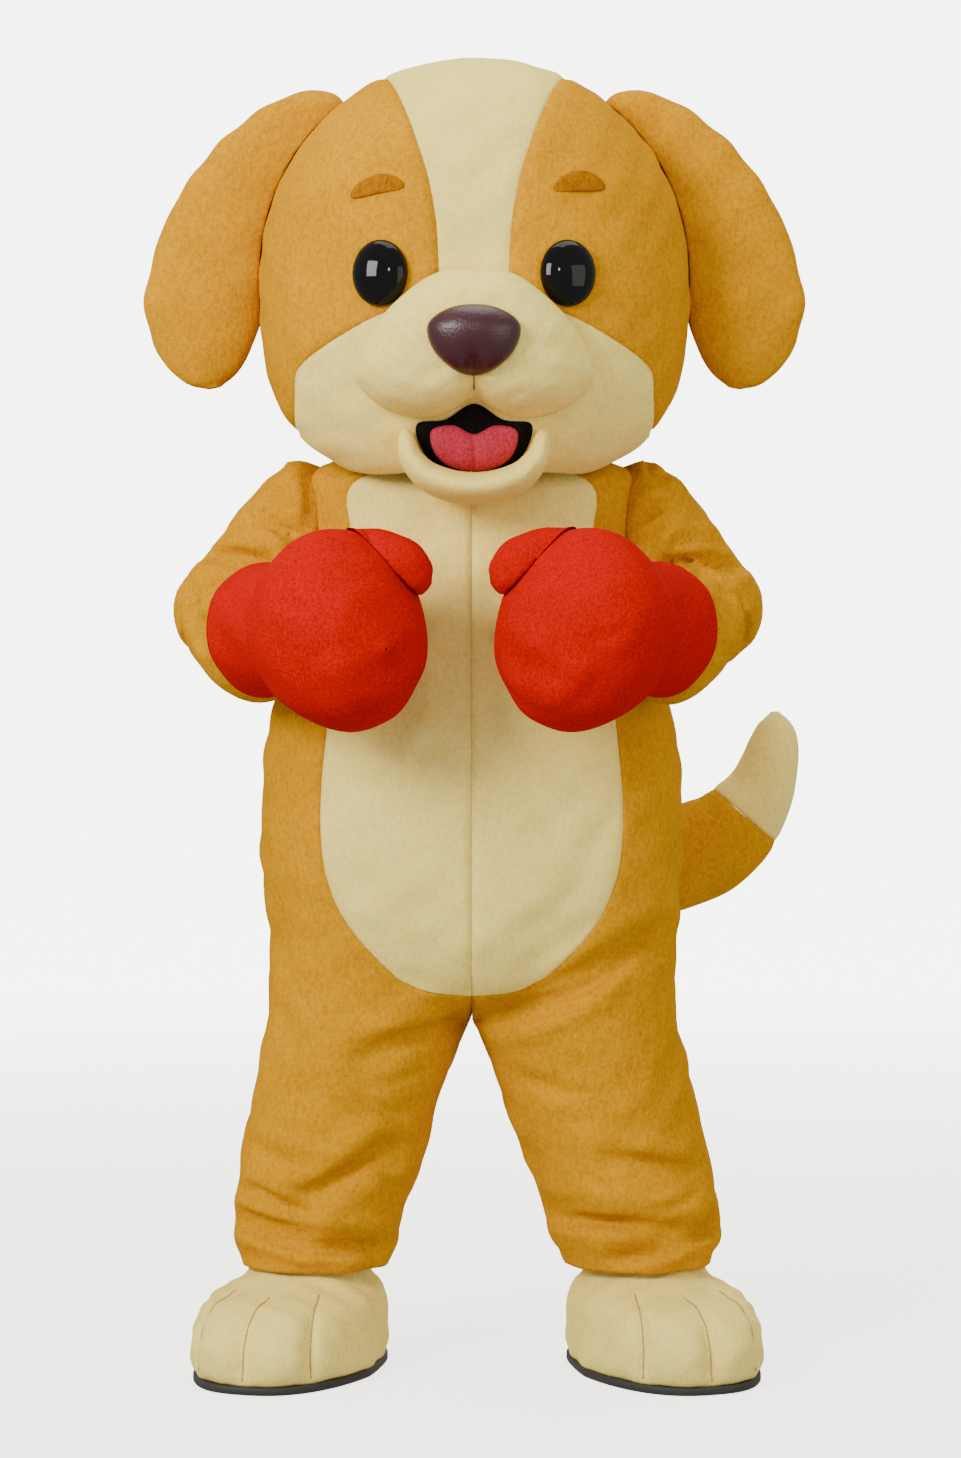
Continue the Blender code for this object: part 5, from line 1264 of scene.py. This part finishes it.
EAR = [  # x, y, height of the middle, half width, half thickness, heading x and z
    (0.19, 0.004, 1.8, 0.022, 0.014, 0.8, 0.3), (0.212, 0.002, 1.806, 0.036, 0.024, 0.93, 0.1),
    (0.252, 0.0, 1.786, 0.054, 0.031, 0.85, -0.5), (0.304, -0.002, 1.738, 0.068, 0.036, 0.68, -0.72),
    (0.345, -0.006, 1.678, 0.079, 0.038, 0.45, -0.89), (0.374, -0.01, 1.612, 0.086, 0.038, 0.22, -0.97),
    (0.389, -0.015, 1.547, 0.0875, 0.036, 0.05, -1.0), (0.391, -0.019, 1.492, 0.081, 0.033, -0.08, -1.0),
    (0.386, -0.022, 1.45, 0.063, 0.028, -0.15, -0.98), (0.38, -0.025, 1.4225, 0.038, 0.02, -0.2, -0.97),
    (0.376, -0.026, 1.409, 0.01, 0.008, -0.2, -0.97),
]
turn = all_round(72)
rows = finer(EAR, 101)
heading = unit(np.stack([rows[:, 5], 0 * rows[:, 5], rows[:, 6]], axis=-1))
aside = np.stack([-heading[:, 2], 0 * heading[:, 0], heading[:, 0]], axis=-1)
centre = rows[:, :3] - np.array([0, 0, HEAD_CENTRE[2]])
flap = (centre[:, None] + aside[:, None] * (rows[:, 3][:, None] * np.sin(turn))[..., None]
        + np.array([0, 1.0, 0]) * (rows[:, 4][:, None] * power(np.cos(turn), 0.9))[..., None])
normals = tube_normals(flap)
rim = 0.0025 * np.exp(-((np.abs(np.cos(turn)) / 0.12) ** 2))
flap[2:-2] = (flap - normals * (uneven(flap, 0.12, 0.0025) + rim[None])[..., None])[2:-2]
for side, word in SIDES:
    form = onto_head(flap, 0.0016) * np.array([side, 1, 1])
    mesh_piece("ear_flap_" + word, *stuffed(form + HEAD_CENTRE), "amber_plush", "ear_" + word)
print("ears", [n for n in MADE if n.startswith("ear_")])

# %% [markdown]
# Seams that carry weight or draw the foam in are sewn by hand with a thick thread, and the eye sees
# them as short dashes in the pile. Geometry nodes lay them: a line is divided evenly, one stitch stands
# on each of its points, turned along the line, and its size varies a little from a fixed seed.

# %% Stitches along the seams
THREADS = {"red_thread": "7E0000", "pale_thread": "B89A58", "dark_thread": "4A3018"}
for name, code in THREADS.items():
    FINISH[name] = grained(name, code, 0.8, 0.6, 0.2)


def stitch_tree(thread):
    """Nodes that lay stitches along a line, and the identifiers of its sizes."""
    tree = bpy.data.node_groups.new("stitches_" + thread, "GeometryNodeTree")
    tree.interface.new_socket("Geometry", in_out="OUTPUT", socket_type="NodeSocketGeometry")
    tree.interface.new_socket("Line", in_out="INPUT", socket_type="NodeSocketGeometry")
    names = {n: tree.interface.new_socket(n, in_out="INPUT", socket_type="NodeSocketFloat").identifier
             for n in ("Spacing", "Length", "Thickness")}
    given = tree.nodes.new("NodeGroupInput").outputs
    line = add_node(tree, "GeometryNodeMeshToCurve", (), {0: given["Line"]}).outputs[0]
    evenly = add_node(tree, "GeometryNodeResampleCurve", {"mode": "LENGTH"},
                      {"Curve": line, "Length": given["Spacing"]}).outputs[0]
    along = add_node(tree, "GeometryNodeInputTangent").outputs[0]
    turned = add_node(tree, "FunctionNodeAlignRotationToVector", {"axis": "Z"},
                      {"Vector": along}).outputs[0]
    ball = add_node(tree, "GeometryNodeMeshUVSphere",
                    {"Segments": 6, "Rings": 4, "Radius": 0.5}).outputs[0]
    size = add_node(tree, "ShaderNodeCombineXYZ", (),
                    {"X": given["Thickness"], "Y": given["Thickness"], "Z": given["Length"]}).outputs[0]
    vary = add_node(tree, "FunctionNodeRandomValue", {"Seed": 11})
    vary.inputs[2].default_value, vary.inputs[3].default_value = 0.86, 1.12
    varied = add_node(tree, "ShaderNodeVectorMath", {"operation": "SCALE"},
                      {0: size, "Scale": vary.outputs[1]}).outputs[0]
    laid = add_node(tree, "GeometryNodeInstanceOnPoints", (),
                    {"Points": evenly, "Instance": ball, "Rotation": turned, "Scale": varied}).outputs[0]
    real = add_node(tree, "GeometryNodeRealizeInstances", (), {0: laid}).outputs[0]
    done = add_node(tree, "GeometryNodeSetMaterial", {"Material": FINISH[thread]},
                    {"Geometry": real}).outputs[0]
    tree.links.new(done, tree.nodes.new("NodeGroupOutput").inputs[0])
    return tree, names


STITCH_TREES = {thread: stitch_tree(thread) for thread in THREADS}


def add_stitches(name, line, closed, thread, spacing, length, thick):
    """Stitches along a line of points above the floor, as one plain mesh."""
    mesh = bpy.data.meshes.new(name + "_line")
    edges = [(k, (k + 1) % len(line)) for k in range(len(line) if closed else len(line) - 1)]
    mesh.from_pydata(in_frame(line).tolist(), edges, [])
    piece = bpy.data.objects.new(name, mesh)
    bpy.context.collection.objects.link(piece)
    tree, names = STITCH_TREES[thread]
    nodes = piece.modifiers.new("stitches", "NODES")
    nodes.node_group = tree
    for key, value in (("Spacing", spacing), ("Length", length), ("Thickness", thick)):
        nodes[names[key]] = value
    made = bpy.data.meshes.new_from_object(piece.evaluated_get(bpy.context.evaluated_depsgraph_get()))
    piece.modifiers.clear()
    piece.data = made
    made.name = name
    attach(piece, "root")
    MADE[name] = piece


turns = np.linspace(0, 2 * math.pi, 120, endpoint=False)
STITCH_SINKS = 0.024  # share of the glove's width by which its stitches lie in the seam
philtrum_x, philtrum_height = np.full(10, 0.0), np.linspace(1.404, 1.376, 10)
add_stitches("stitch_philtrum", muzzle_front(philtrum_x, philtrum_height) + HEAD_CENTRE, False,
             "dark_thread", spacing=0.0035, length=0.0045, thick=0.0022)
for side, word in SIDES:
    flip, shift = np.array([side, 1, 1]), np.array(REACH[side])
    outwards = glove(CUFF_END, turns) - GLOVE_RIM - CUFF_END * GLOVE_HEADING
    seam = glove(CUFF_END + SEAM / 2, turns) - outwards * STITCH_SINKS
    add_stitches("stitch_glove_" + word, (seam + shift) * flip, True, "red_thread",
                 spacing=0.0080, length=0.0060, thick=0.0018)
    for k, at in enumerate(TOE_SEAMS):
        column = int(np.argmin(np.abs(around - at)))
        line = (SHOE_FORM + SHOE_NORMALS * 0.0004)[3:34, column]
        add_stitches("stitch_toe_%s_%d" % (word, k), place_foot(line, side), False, "pale_thread",
                     spacing=0.0060, length=0.0066, thick=0.0030)
print("stitches", sum(1 for n in MADE if n.startswith("stitch_")), "lines")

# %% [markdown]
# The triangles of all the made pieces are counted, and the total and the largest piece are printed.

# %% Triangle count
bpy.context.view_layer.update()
triangles = {n: sum(len(p.vertices) - 2 for p in o.data.polygons) for n, o in MADE.items()}
print("triangles", sum(triangles.values()), max(triangles.items(), key=lambda t: t[1]))
